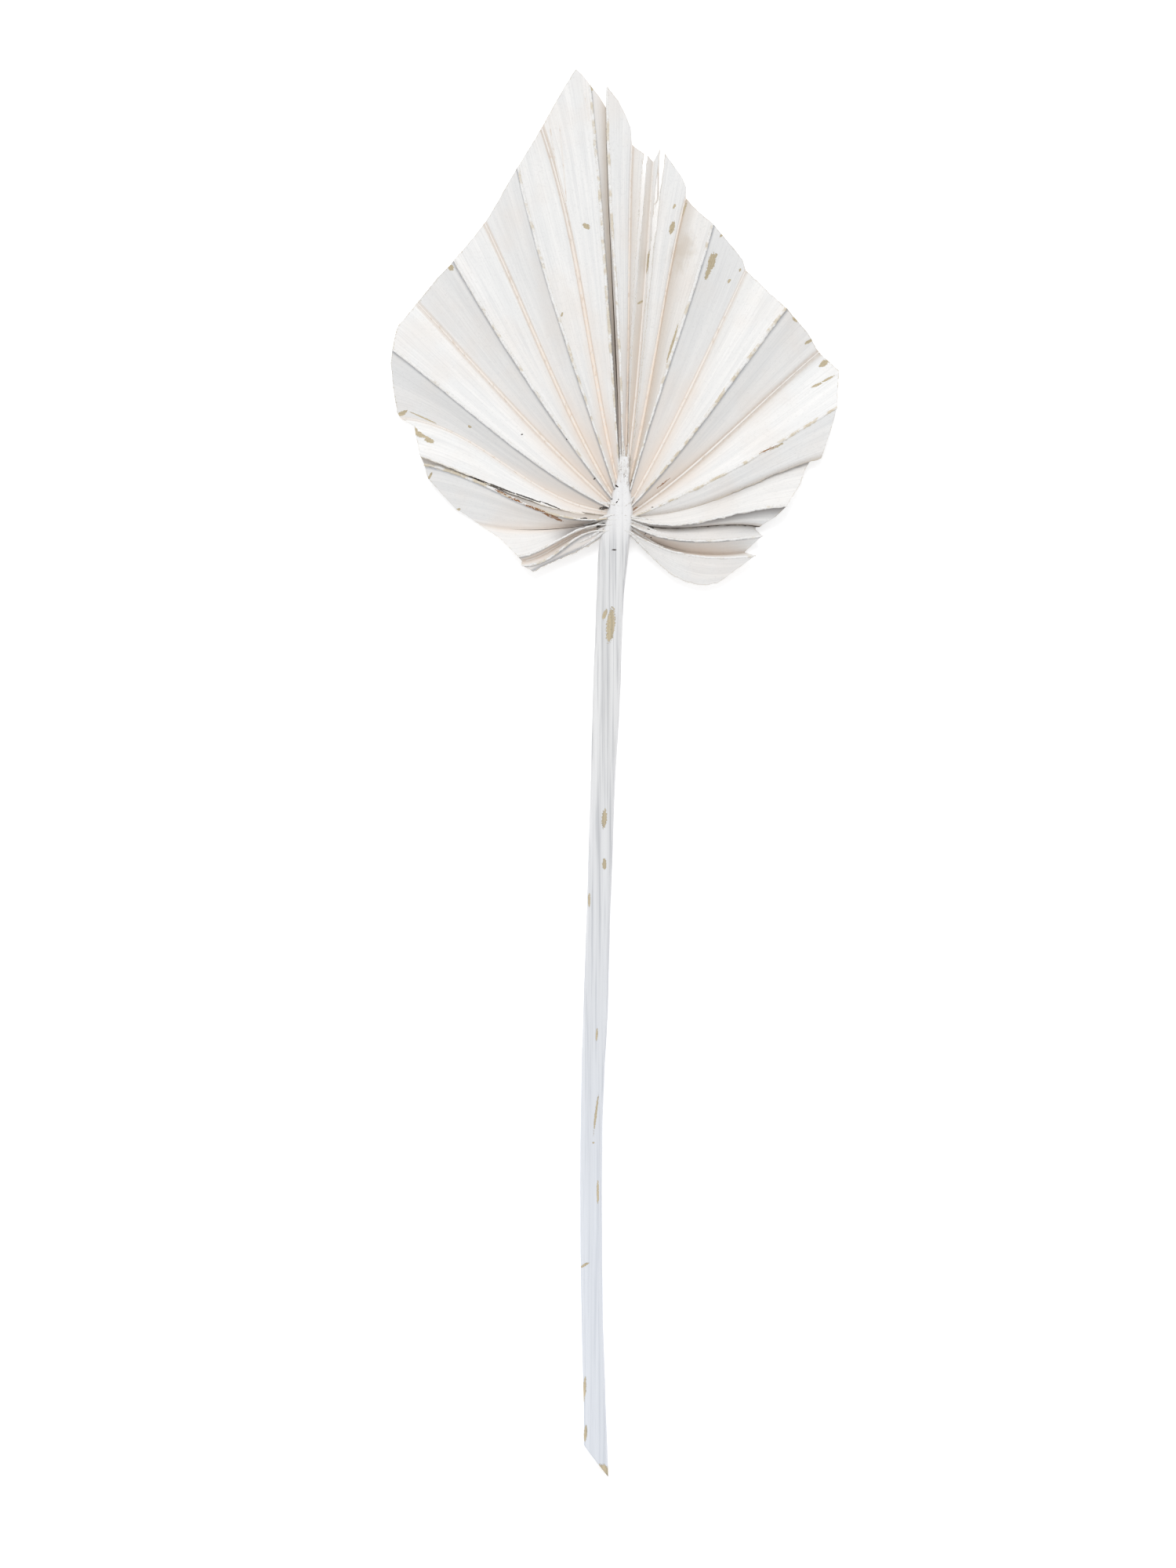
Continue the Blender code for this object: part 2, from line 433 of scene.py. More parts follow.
LOWER_LEFT = (
    Fold(EDGE, (-4.8, -8.4), (-31.5, -22.2), -0.6, -0.6, 6.4, wear=0.4),
    Fold(CREST, (-4.0, -6.6), (-36.0, -19.6), 0.2, 2.4, 6.8, lean=-0.4, wear=0.7),
    Fold(FURROW, (-3.8, -5.4), (-36.0, -18.2), 0.9, 1.4, 6.0, dirt=0.1, cream=0.3),
    Fold(CREST, (-3.6, -4.2), (-37.5, -16.4), 0.9, 1.5, 8.2, ((-44.1, -9.5), (-49.2, -6.0)), -0.4,
         shadow=(1.0, 1.0, 0.12, 0.05)),
    Fold(FURROW, (-3.4, -3.0), (-53.0, -3.4), -2.5, 0.3, 1.6,
         ((-57.9, 0.0), (-61.5, 2.1), (-67.2, 8.2), (-72.0, 13.5)), dirt=0.25, cream=0.0,
          gap=(2.2, 1.5, -0.1)),
    Fold(CREST, (-3.4, -1.9), (-73.4, 18.8), -2.8, -2.6, 6.6, lean=-0.3, wear=1.0, tan=1.0,
         shadow=(0.0, 0.25, 0.7, 0.2)),
    Fold(EDGE, (-3.2, -0.4), (-75.0, 22.8), -2.4, -1.4, 4.4, dirt=0.9, wear=0.6),
)
LEFT = (
    Fold(EDGE, (-3.3, -0.8), (-74.6, 21.6), -2.9, -1.4, 9.0, ((-76.5, 29.4), (-77.2, 33.6)), wear=0.8),
    Fold(FURROW, (-3.0, 1.0), (-82.4, 36.8), 0.2, -3.9, 1.6,
         ((-83.8, 39.0), (-85.3, 48.3), (-86.1, 57.6)), cream=0.35),
    Fold(CREST, (-2.7, 2.5), (-85.3, 62.7), -2.3, -1.0, 10.4, ((-84.3, 68.4), (-83.4, 72.0)), -0.5,
         wear=0.4),
    Fold(FURROW, (-2.3, 4.2), (-76.2, 81.0), -1.2, -0.4, 1.5, ((-67.5, 90.9),), cream=0.6),
    Fold(CREST, (-1.6, 6.0), (-61.8, 96.7), -1.8, 0.0, 11.0, ((-54.9, 105.6),), -0.5, wear=0.6),
    Fold(FURROW, (-1.6, 7.8), (-50.3, 111.6), -1.2, -0.8, 1.7, cream=0.8),
    Fold(CREST, (-0.4, 9.8), (-37.5, 132.4), -1.6, 0.5, 11.4, lean=-0.3, wear=0.7),
    Fold(FURROW, (0.4, 12.6), (-28.5, 148.0), 1.6, -1.3, 3.0,
         ((-19.8, 163.2), (-15.2, 170.0), (-12.0, 166.7)), cream=1.0),
    Fold(CREST, (1.2, 16.6), (-10.0, 163.8), 0.5, -0.2, 10.4, ((-6.3, 159.3),), 0.2, wear=0.8, tan=0.8,
         shadow=(0.9, 0.5, 0.0, 0.0)),
    Fold(FURROW, (1.2, 19.0), (-3.4, 154.2), 0.1, 0.6, 9.8, ((-3.1, 158.0),), dirt=0.2, cream=0.0,
         gap=(-0.1, 1.1, 0.8), root_height=5.6),
    Fold(CREST, (2.5, 20.6), (-3.3, 162.9), 0.1, 0.8, 11.0,
         ((0.9, 157.9), (3.9, 152.2), (5.7, 147.6)), -0.5, wear=0.7),
    Fold(FURROW, (3.7, 20.0), (6.1, 141.3), -0.1, 0.3, 5.4, cream=0.8, tan=0.35),
    Fold(EDGE, (4.3, 18.8), (10.8, 137.7), -1.2, -0.1, 7.4, wear=0.5),
)
MIDDLE = (
    Fold(EDGE, (4.3, 18.5), (12.1, 136.9), -1.0, -0.1, 7.6, wear=0.3, tan=0.5),
    Fold(FURROW, (4.6, 17.2), (14.4, 134.7), 0.8, 0.2, 6.2, cream=0.2, tan=0.0),
    Fold(EDGE, (5.0, 15.6), (16.9, 139.3), 0.2, 0.5, 9.0, wear=0.9),
)
RIGHT = (
    Fold(EDGE, (5.0, 15.3), (18.8, 137.8), 0.1, 0.5, 7.6, ((25.5, 128.8), (27.0, 125.1)), wear=0.5),
    Fold(FURROW, (5.3, 12.2), (26.7, 120.9), -0.2, 0.7, 2.4, ((32.9, 114.3),), cream=1.0, dirt=0.15,
         tan=0.6),
    Fold(CREST, (5.6, 9.2), (37.0, 110.7), -0.2, -0.5, 10.8, ((42.9, 104.4), (48.6, 97.5)), 0.25,
         wear=0.7),
    Fold(FURROW, (6.1, 4.8), (49.8, 93.3), 1.0, 0.2, 1.5, cream=0.5, tan=0.1),
    Fold(CREST, (5.8, 2.8), (65.0, 78.5), 1.3, 0.6, 11.0, ((73.8, 69.0),), 0.4, wear=1.0),
    Fold(FURROW, (6.0, 0.4), (77.8, 62.1), 1.3, 0.8, 1.5, ((85.5, 54.9), (85.2, 50.7)), dirt=0.5,
         cream=0.1),
    Fold(CREST, (6.0, -1.4), (84.6, 40.6), 2.1, 0.3, 9.8, ((82.5, 32.4),), 0.5, wear=1.0),
    Fold(EDGE, (5.6, -1.2), (78.6, 21.3), 3.0, 1.8, 4.6, wear=0.6, dirt=0.8),
)
LOWER_RIGHT = (
    Fold(EDGE, (5.2, 0.2), (76.0, 24.0), 3.0, 1.8, 1.7, ((74.2, 20.2), (72.6, 17.1), (70.8, 11.7)),
         dirt=0.8,
         tan=0.25, shadow=(0.0, 0.1, 0.7, 0.9)),
    Fold(CREST, (5.2, -1.6), (65.4, 2.9), 3.0, 2.0, 9.0, ((61.0, -1.2),), 0.4, wear=0.4,
         shadow=(0.6, 0.95, 1.0, 1.0)),
    Fold(EDGE, (5.0, -2.8), (54.9, -5.0), 1.2, 1.4, 3.4, dirt=1.0, wear=0.5),
)
FOOT = (
    Fold(EDGE, (5.0, -2.2), (54.0, -3.6), 1.4, 1.6, 1.4, ((53.4, -5.8),), dirt=1.0,
         shadow=(0.0, 0.0, 0.0, 0.6)),
    Fold(CREST, (4.9, -3.8), (56.1, -8.5), 4.3, 0.8, 7.6, lean=0.3, wear=0.4),
    Fold(FURROW, (4.8, -5.0), (49.4, -14.6), 4.6, 0.3, 1.6, dirt=0.4, cream=0.0, tan=0.1,
         gap=(-0.4, 0.7, 0.4), shadow=(0.4, 0.3, 0.0, 0.0)),
    Fold(CREST, (4.6, -6.2), (53.5, -16.0), 4.9, 0.3, 7.2, ((46.5, -21.0),), 0.3, wear=0.4),
    Fold(EDGE, (5.0, -8.0), (39.0, -26.4), 5.3, -1.5, 4.6, wear=0.4),
)
# fine strips and creases that show on a face but do not bend it: lists of plan points
CREASES = (
    ((-25.8, 152.4), (-23.7, 138.0), (-21.3, 126.6), (-19.4, 119.0)),
    ((-21.6, 148.8), (-20.7, 140.1), (-19.8, 130.5), (-18.9, 119.5)),
    ((-12.3, 161.0), (-11.0, 155.0), (-10.2, 149.7)),
    ((16.4, 137.0), (16.2, 120.0), (13.2, 117.3), (12.3, 99.0)),
)
# strands that run from the stalk's shoulders into the lowest pleats
STRANDS = (
    ((0.6, -0.4), (-2.6, -0.6), (-5.4, -1.6), (-8.6, -3.2), (-12.6, -4.2)),
    ((0.2, -2.2), (-2.8, -2.2), (-5.6, -3.2), (-8.6, -4.9), (-12.0, -6.2)),
    ((-1.0, -4.2), (-4.0, -4.6), (-7.0, -7.0), (-10.0, -9.0), (-15.0, -11.4)),
    ((-2.4, -6.2), (-5.4, -7.2), (-8.6, -10.0), (-13.0, -12.8)),
    ((1.0, 3.2), (-2.2, 3.9), (-5.0, 4.0), (-8.0, 5.0)),
    ((3.6, -2.4), (7.6, -3.4), (11.6, -5.0), (15.6, -6.8), (20.0, -7.6)),
    ((3.4, -4.4), (7.4, -6.2), (10.8, -8.8), (14.6, -11.2), (19.0, -13.0)),
    ((3.2, -6.2), (7.0, -8.6), (10.0, -12.2), (13.0, -15.2)),
    ((3.2, 2.4), (6.4, 5.6), (8.6, 8.8)),
    ((3.4, -0.6), (7.6, -1.4), (11.0, -2.0), (15.0, -2.6)),
    ((1.9, 12.0), (1.9, 18.0), (1.8, 24.0), (1.5, 29.0)),
    ((3.2, 12.0), (3.3, 18.0), (3.1, 24.0), (2.7, 30.0)),
    ((4.3, 10.0), (4.5, 16.0), (4.7, 22.0), (4.8, 27.0)),
)


def ragged(along: np.ndarray, seed: int, waves: tuple = (6.0, 2.4, 1.0)) -> np.ndarray:
    """Return uneven steps from about -1 to 1 along a line, for torn edges.

    Args:
        along: distances along the line, in millimetres.
        seed: the seed of the draw.
        waves: the lengths of the unevenness, largest first, in millimetres.

    Returns:
        One number for each distance.
    """
    draw = np.random.default_rng(seed)
    total, weight, whole = np.zeros_like(along), 1.0, 0.0
    for wave in waves:
        knots = draw.uniform(-1.0, 1.0, int(along.max() / wave) + 3)
        total += weight * np.interp(along / wave, np.arange(len(knots)), knots)
        whole += weight
        weight *= 0.62
    return total / whole * 1.5


def sideways(line: np.ndarray) -> np.ndarray:
    """Work out which way is clockwise and sideways along a plan line.

    Args:
        line: the line's points.

    Returns:
        A direction of length 1 at each point.
    """
    tangent = np.gradient(line, axis=0)
    tangent /= np.hypot(*tangent.T)[:, None]
    return np.column_stack((tangent[:, 1], -tangent[:, 0]))


def distances(corners: np.ndarray) -> np.ndarray:
    """Return how far along a line of corners each of them is."""
    return np.concatenate(([0.0], np.cumsum(np.hypot(*np.diff(corners, axis=0).T))))


def sampled(corners: np.ndarray, reached: np.ndarray, places: np.ndarray) -> np.ndarray:
    """Return points on a line of corners.

    Args:
        corners: the line's corners.
        reached: how far along the line each corner is.
        places: how far along it the points are.

    Returns:
        One row for each place.
    """
    return np.stack([np.interp(places, reached, corners[:, axis]) for axis in (0, 1)], axis=1)


def show(name: str, content: bpy.types.ID) -> bpy.types.Object:
    """Put something new into the scene.

    Args:
        name: the object's name.
        content: its mesh, lamp or camera.

    Returns:
        The object.
    """
    made = bpy.data.objects.new(name, content)
    bpy.context.scene.collection.objects.link(made)
    return made


@dataclass
class Guide:
    """A line that a tool follows: points and girths in millimetres, and how bare of paint it is."""

    points: np.ndarray
    girth: np.ndarray
    bare: float = 0.5


@dataclass
class Column:
    """One line of skin points from the throat to the margin."""

    top: np.ndarray
    under: np.ndarray
    vein: float
    marks: dict[str, np.ndarray]


MARKS = ("crest", "furrow", "torn", "slot", "shadow", "margin", "wear", "cream", "dirt", "tan", "lee")


@dataclass
class Lobe:
    """One connected part of the blade, from one free edge to the next."""

    name: str
    folds: tuple[Fold, ...]
    seed: int
    rows: int = 190
    thickness: float = 0.5
    column_pitch: float = 1.0
    lip_drop: float = 0.55
    shaded_power: float = 1.6
    lit_power: float = 1.1
    crowding: float = 0.92    # below 1, rows lie closer at the margin
    face_waves: float = 0.16  # how uneven a face is
    wander: float = 0.16      # how far a crest strays sideways
    crest_waves: float = 0.14
    crest_back: float = 0.22  # from a crest to the start of its face on the far side
    tear: float = 0.28        # how ragged a free edge is
    cut_waves: float = 0.22   # how ragged the trimmed margin is
    columns: list[Column] = field(default_factory=list)
    seams: list[Guide] = field(default_factory=list)
    midribs: list[Guide] = field(default_factory=list)
    torn: list[Guide] = field(default_factory=list)

    def shares(self) -> np.ndarray:
        """Return the rows' places along a fold, from 0 at the throat to 1 at the margin."""
        return np.linspace(0.0, 1.0, self.rows + 1) ** self.crowding

    def margin(self, fold: Fold, following: Fold) -> tuple[np.ndarray, np.ndarray, float]:
        """Return places across a pleat's face, with the point of the margin at each.

        Args:
            fold: the fold before the face.
            following: the fold after it.

        Returns:
            The places from 0 to 1, the margin's plan points, and the margin's length.
        """
        corners = np.array([fold.end, *fold.trim, following.end])
        reached = distances(corners)
        width = float(reached[-1])
        reached /= width
        count = int(np.clip(round(width / self.column_pitch), 6, 26))
        even = np.linspace(0.0, 1.0, count + 1)
        places = 0.55 * even + 0.45 * (0.5 - 0.5 * np.cos(math.pi * even))
        for corner in reached[1:-1]:
            places[np.argmin(np.abs(places[1:-1] - corner)) + 1] = corner
        return places, sampled(corners, reached, places), width

    def add_column(self, plan: np.ndarray, height: np.ndarray, vein: float, marks: dict,
                   under_plan: np.ndarray | None = None, under_height: np.ndarray | None = None) -> None:
        """Keep one column: its upper points, and the lower ones a skin's thickness below.

        Args:
            plan: plan points of the upper side.
            height: heights of the upper side.
            vein: place across the veins, in millimetres at the margin.
            marks: what the finish reads at each point.
            under_plan: plan points of the lower side, if they differ.
            under_height: heights that the lower side hangs from, if they differ.
        """
        below = plan if under_plan is None else under_plan
        floor = height if under_height is None else under_height
        top = np.column_stack((plan, height))
        under = np.column_stack((below, np.maximum(floor - self.thickness, 0.02)))
        self.columns.append(Column(top, under, vein, marks))

    def face_columns(self, fold: Fold, following: Fold, vein: float, number: int) -> float:
        """Add the columns of one face of a pleat, without the folds at its sides.

        Args:
            fold: the fold before the face.
            following: the fold after it.
            vein: the vein place of the first fold.
            number: the face's number, which seeds its waves.

        Returns:
            The vein place of the following fold.
        """
        share = self.shares()
        places, points, width = self.margin(fold, following)
        first, last = fold.line(share), following.line(share)
        rise, fall = fold.heights(share), following.heights(share)
        span = np.sqrt(((last - first) ** 2).sum(1) + (fall - rise) ** 2)
        wave = ragged(share * WAVE_RUN, self.seed * 97 + number, (46.0, 21.0))
        power = self.profile_power(fold, following)
        for place, point in zip(places[1:-1], points[1:-1]):
            root = tuple(np.array(fold.root) + place * (np.array(following.root) - np.array(fold.root)))
            between = Fold(fold.kind, root, tuple(point), fold.bow + place * (following.bow - fold.bow),
                           fold.skew + place * (following.skew - fold.skew), 0.0)
            climb = place**power if following.kind is not Kind.FURROW else 1.0 - (1.0 - place) ** power
            hump = math.sin(math.pi * place)
            height = rise + climb * (fall - rise) + self.face_waves * hump * wave * share
            marks = self.marks(fold, following, place * span, (1.0 - place) * span, share)
            self.add_column(between.line(share), height, vein + place * width, marks)
        return vein + width

    def profile_power(self, fold: Fold, following: Fold) -> float:
        """Return how a face climbs to its crest: above 1 it is flat below and steep at the crest.

        Args:
            fold: the fold before the face.
            following: the fold after it.

        Returns:
            The power of the climb.
        """
        if following.kind is Kind.FURROW:
            shaded = fold.lean > 0.0
        else:
            shaded = following.lean < 0.0
        return self.shaded_power if shaded else self.lit_power

    def marks(self, fold: Fold, following: Fold, before: np.ndarray, after: np.ndarray,
              share: np.ndarray) -> dict[str, np.ndarray]:
        """Return what the finish needs to know at each point of a column.

        Args:
            fold: the fold before the column.
            following: the fold after it.
            before: distances to the first fold.
            after: distances to the second.
            share: places along the folds.

        Returns:
            Distances to the nearest crest, furrow, slot and free edge, how worn, bare and brown the leaf
            is there, and how much shade is painted on it.
        """
        far = np.full_like(share, FAR)
        found = {"crest": far.copy(), "furrow": far.copy(), "torn": far.copy(), "slot": far.copy()}
        shaded = self.profile_power(fold, following) == self.shaded_power
        tone = {"wear": 0.0, "cream": 0.0, "dirt": 0.0, "tan": fold.tan, "lee": float(shaded)}
        depth = np.interp(share, SHADES, fold.shadow or (0.0,) * len(SHADES))
        found["shadow"] = depth * np.clip(1.2 - before / 7.0, 0.0, 1.0)
        for near, distance in ((fold, before), (following, after)):
            key = {Kind.CREST: "crest", Kind.FURROW: "furrow", Kind.EDGE: "torn"}[near.kind]
            found[key] = np.minimum(found[key], distance)
            if near.kind is Kind.FURROW:
                tone["cream"], tone["dirt"] = near.cream, max(tone["dirt"], near.dirt)
                if near.gap and near is following:
                    found["slot"] = distance - np.interp(share, GAPS, near.gap)
            else:
                tone["wear"] = max(tone["wear"], near.wear)
                tone["dirt"] = max(tone["dirt"], near.dirt)
        reach = np.hypot(*(np.array(following.end))) if following.kind is not Kind.EDGE else 0.0
        length = max(reach, np.hypot(*np.array(fold.end)))
        found["margin"] = (1.0 - share) * length
        found["reach"] = share * length
        for key, amount in tone.items():
            found[key] = np.full_like(share, amount)
        return found

    def crest_columns(self, fold: Fold, vein: float, marks: dict, number: int) -> None:
        """Add a crest: a lip that hangs over the shaded face, and the tuck beneath it.

        Args:
            fold: the crest.
            vein: its vein place.
            marks: the marks at the crest.
            number: the crest's number, which seeds its raggedness.
        """
        share = self.shares()
        line, height = fold.line(share), fold.heights(share)
        across = sideways(line)
        fade = np.clip(share / 0.18, 0.0, 1.0) * np.clip((1.0 - share) / 0.02, 0.0, 1.0)
        rough = ragged(share * WAVE_RUN, self.seed * 31 + number)
        side = math.copysign(1.0, fold.lean)
        hang = (abs(fold.lean) * (0.75 + 0.65 * rough) + 0.08) * fade + 0.04
        line = line + (self.wander * rough * fade)[:, None] * across
        height = height + self.crest_waves * ragged(share * WAVE_RUN, self.seed * 53 + number) * fade
        girth = self.seam_girth(share, fold)
        self.seams.append(Guide(np.column_stack((line, height + 0.06 - 0.75 * girth)), girth, fold.wear))
        lip = line + (side * hang)[:, None] * across
        hidden = self.crest_back * np.clip(share * 3.0, 0.1, 1.0)
        back = line - (side * hidden)[:, None] * across
        tuck = line + side * 0.05 * across
        rows = [(back, height + 0.02, -1.0), (lip, height - 0.05 - 0.12 * hang, 0.0),
                (tuck, height - self.lip_drop * (0.2 + 0.8 * fade), 1.0)]
        for plan, top, step in rows if side > 0 else rows[::-1]:
            beneath = line + (side * step * hidden)[:, None] * across
            self.add_column(plan, top, vein, marks, beneath, height - 0.9 * fade)

    def edge_column(self, fold: Fold, vein: float, marks: dict, outward: float, number: int) -> None:
        """Add a free edge, torn unevenly along its length.

        Args:
            fold: the edge.
            vein: its vein place.
            marks: the marks at the edge.
            outward: 1 where the leaf ends clockwise of the edge, -1 where it starts there.
            number: the edge's number, which seeds its raggedness.
        """
        share = self.shares()
        line, height = fold.line(share), fold.heights(share)
        fade = np.clip(share / 0.15, 0.0, 1.0) * np.clip((1.0 - share) / 0.02, 0.0, 1.0)
        tear = self.tear * ragged(share * WAVE_RUN, self.seed * 71 + number) * fade
        plan = line + (outward * tear)[:, None] * sideways(line)
        self.add_column(plan, height + 0.12 * tear, vein, marks)
        girth = 0.5 * self.seam_girth(share, fold)
        self.torn.append(Guide(np.column_stack((plan, height - 0.1)), girth, fold.wear))

    def seam_girth(self, share: np.ndarray, fold: Fold) -> np.ndarray:
        """Return how thick the scurf of a seam is along it.

        Args:
            share: places along the seam.
            fold: the crest or edge that it grows on.

        Returns:
            One girth for each place.
        """
        reach = share * np.hypot(*fold.end)
        taper = np.interp(share, (0.9, 1.0), (1.0, 0.7))
        return (0.40 + 0.18 * fold.wear) * np.interp(reach, (0.0, 16.0, 60.0), (0.4, 0.62, 1.1)) * taper

    def midrib_girth(self, share: np.ndarray, fold: Fold) -> np.ndarray:
        """Return how thick a midrib is along it: stout at the throat, fine at the margin.

        Args:
            share: places along the midrib.
            fold: its furrow.

        Returns:
            One girth for each place.
        """
        wave = 1.0 + 0.12 * ragged(share * WAVE_RUN, self.seed * 13 + 5, (22.0, 9.0, 3.0))
        taper = np.interp(share, (0.0, 0.1, 0.6, 1.0), (0.8, 1.15, 1.0, 0.5))
        return (0.34 + 0.3 * fold.cream) * wave * taper

    def lay_columns(self) -> None:
        """Work out every column of the lobe."""
        vein, share = 0.0, self.shares()
        zero = np.zeros_like(share)
        for number, fold in enumerate(self.folds):
            following = self.folds[min(number + 1, len(self.folds) - 1)]
            marks = self.marks(fold, following, zero, zero + FAR, share)
            if fold.kind is not Kind.FURROW:
                marks.update({"tan": zero, "lee": zero + 0.3, "slot": zero + FAR, "shadow": zero})
            if fold.kind is Kind.EDGE:
                self.edge_column(fold, vein, marks, -1.0 if number == 0 else 1.0, number)
            elif fold.kind is Kind.CREST:
                self.crest_columns(fold, vein, marks, number)
            else:
                line, height = fold.line(share), fold.heights(share)
                self.add_column(line, height, vein, marks)
                if fold.cream > 0.0:
                    girth = self.midrib_girth(share, fold)
                    points = np.column_stack((line, height + 0.1 * girth))
                    self.midribs.append(Guide(points, girth, fold.cream))
            if following is not fold:
                vein = self.face_columns(fold, following, vein, number)

    def roughen_margin(self) -> None:
        """Make the cut margin slightly uneven."""
        count = len(self.columns)
        uneven = ragged(np.arange(count) * self.column_pitch, self.seed * 11, (5.0, 2.0, 1.0))
        reach = np.array([0.0, 0.2, 0.6, 1.0])
        for column, step in zip(self.columns, uneven):
            for points in (column.top, column.under):
                outward = points[-1, :2] / np.hypot(*points[-1, :2])
                points[-4:, :2] += outward * (self.cut_waves * step * reach)[:, None]

    def build(self, throat: np.ndarray) -> bpy.types.Object:
        """Return the lobe as one closed mesh.

        Args:
            throat: the throat's place in the leaf's frame, in metres.

        Returns:
            The object, with its marks and its pleat map.
        """
        self.columns.clear()
        self.lay_columns()
        self.roughen_margin()
        tops = np.stack([column.top for column in self.columns])
        unders = np.stack([column.under for column in self.columns])
        wide, long = tops.shape[:2]
        places = np.concatenate((tops.reshape(-1, 3), unders.reshape(-1, 3))) * MM + throat
        index = np.arange(wide * long).reshape(wide, long)
        below = index + wide * long
        quads = [self.quads(index[:-1, :-1], index[1:, :-1], index[1:, 1:], index[:-1, 1:]),
                 self.quads(below[:-1, :-1], below[:-1, 1:], below[1:, 1:], below[1:, :-1]),
                 self.quads(index[:-1, -1], index[1:, -1], below[1:, -1], below[:-1, -1]),
                 self.quads(index[1:, 0], index[:-1, 0], below[:-1, 0], below[1:, 0]),
                 self.quads(index[0, :-1], index[0, 1:], below[0, 1:], below[0, :-1]),
                 self.quads(index[-1, 1:], index[-1, :-1], below[-1, :-1], below[-1, 1:])]
        mesh = bpy.data.meshes.new(self.name)
        mesh.from_pydata(places.tolist(), [], np.concatenate(quads).tolist())
        self.write_marks(mesh)
        veins = np.repeat([column.vein for column in self.columns], long)
        reach = np.concatenate([column.marks["reach"] for column in self.columns])
        grid = np.column_stack((np.tile(veins, 2), np.tile(reach, 2)))
        layer = mesh.uv_layers.new(name="pleat")
        corners = np.empty(len(mesh.loops), dtype=np.int32)
        mesh.loops.foreach_get("vertex_index", corners)
        layer.data.foreach_set("uv", grid[corners].astype(np.float32).ravel())
        mesh.shade_smooth()
        mesh.set_sharp_from_angle(angle=math.radians(48.0))
        return show(self.name, mesh)

    @staticmethod
    def quads(first: np.ndarray, second: np.ndarray, third: np.ndarray, fourth: np.ndarray) -> np.ndarray:
        """Return four-sided faces from arrays of their corners."""
        return np.stack((first, second, third, fourth), axis=-1).reshape(-1, 4)

    def write_marks(self, mesh: bpy.types.Mesh) -> None:
        """Store the marks of both sides of the skin.

        Args:
            mesh: the lobe's mesh, its upper points first.
        """
        for key in MARKS:
            numbers = np.concatenate([column.marks[key] for column in self.columns])
            layer = mesh.attributes.new(key, "FLOAT", "POINT")
            layer.data.foreach_set("value", np.tile(numbers, 2).astype(np.float32))


# --------------------------------------------------------------------------- geometry nodes


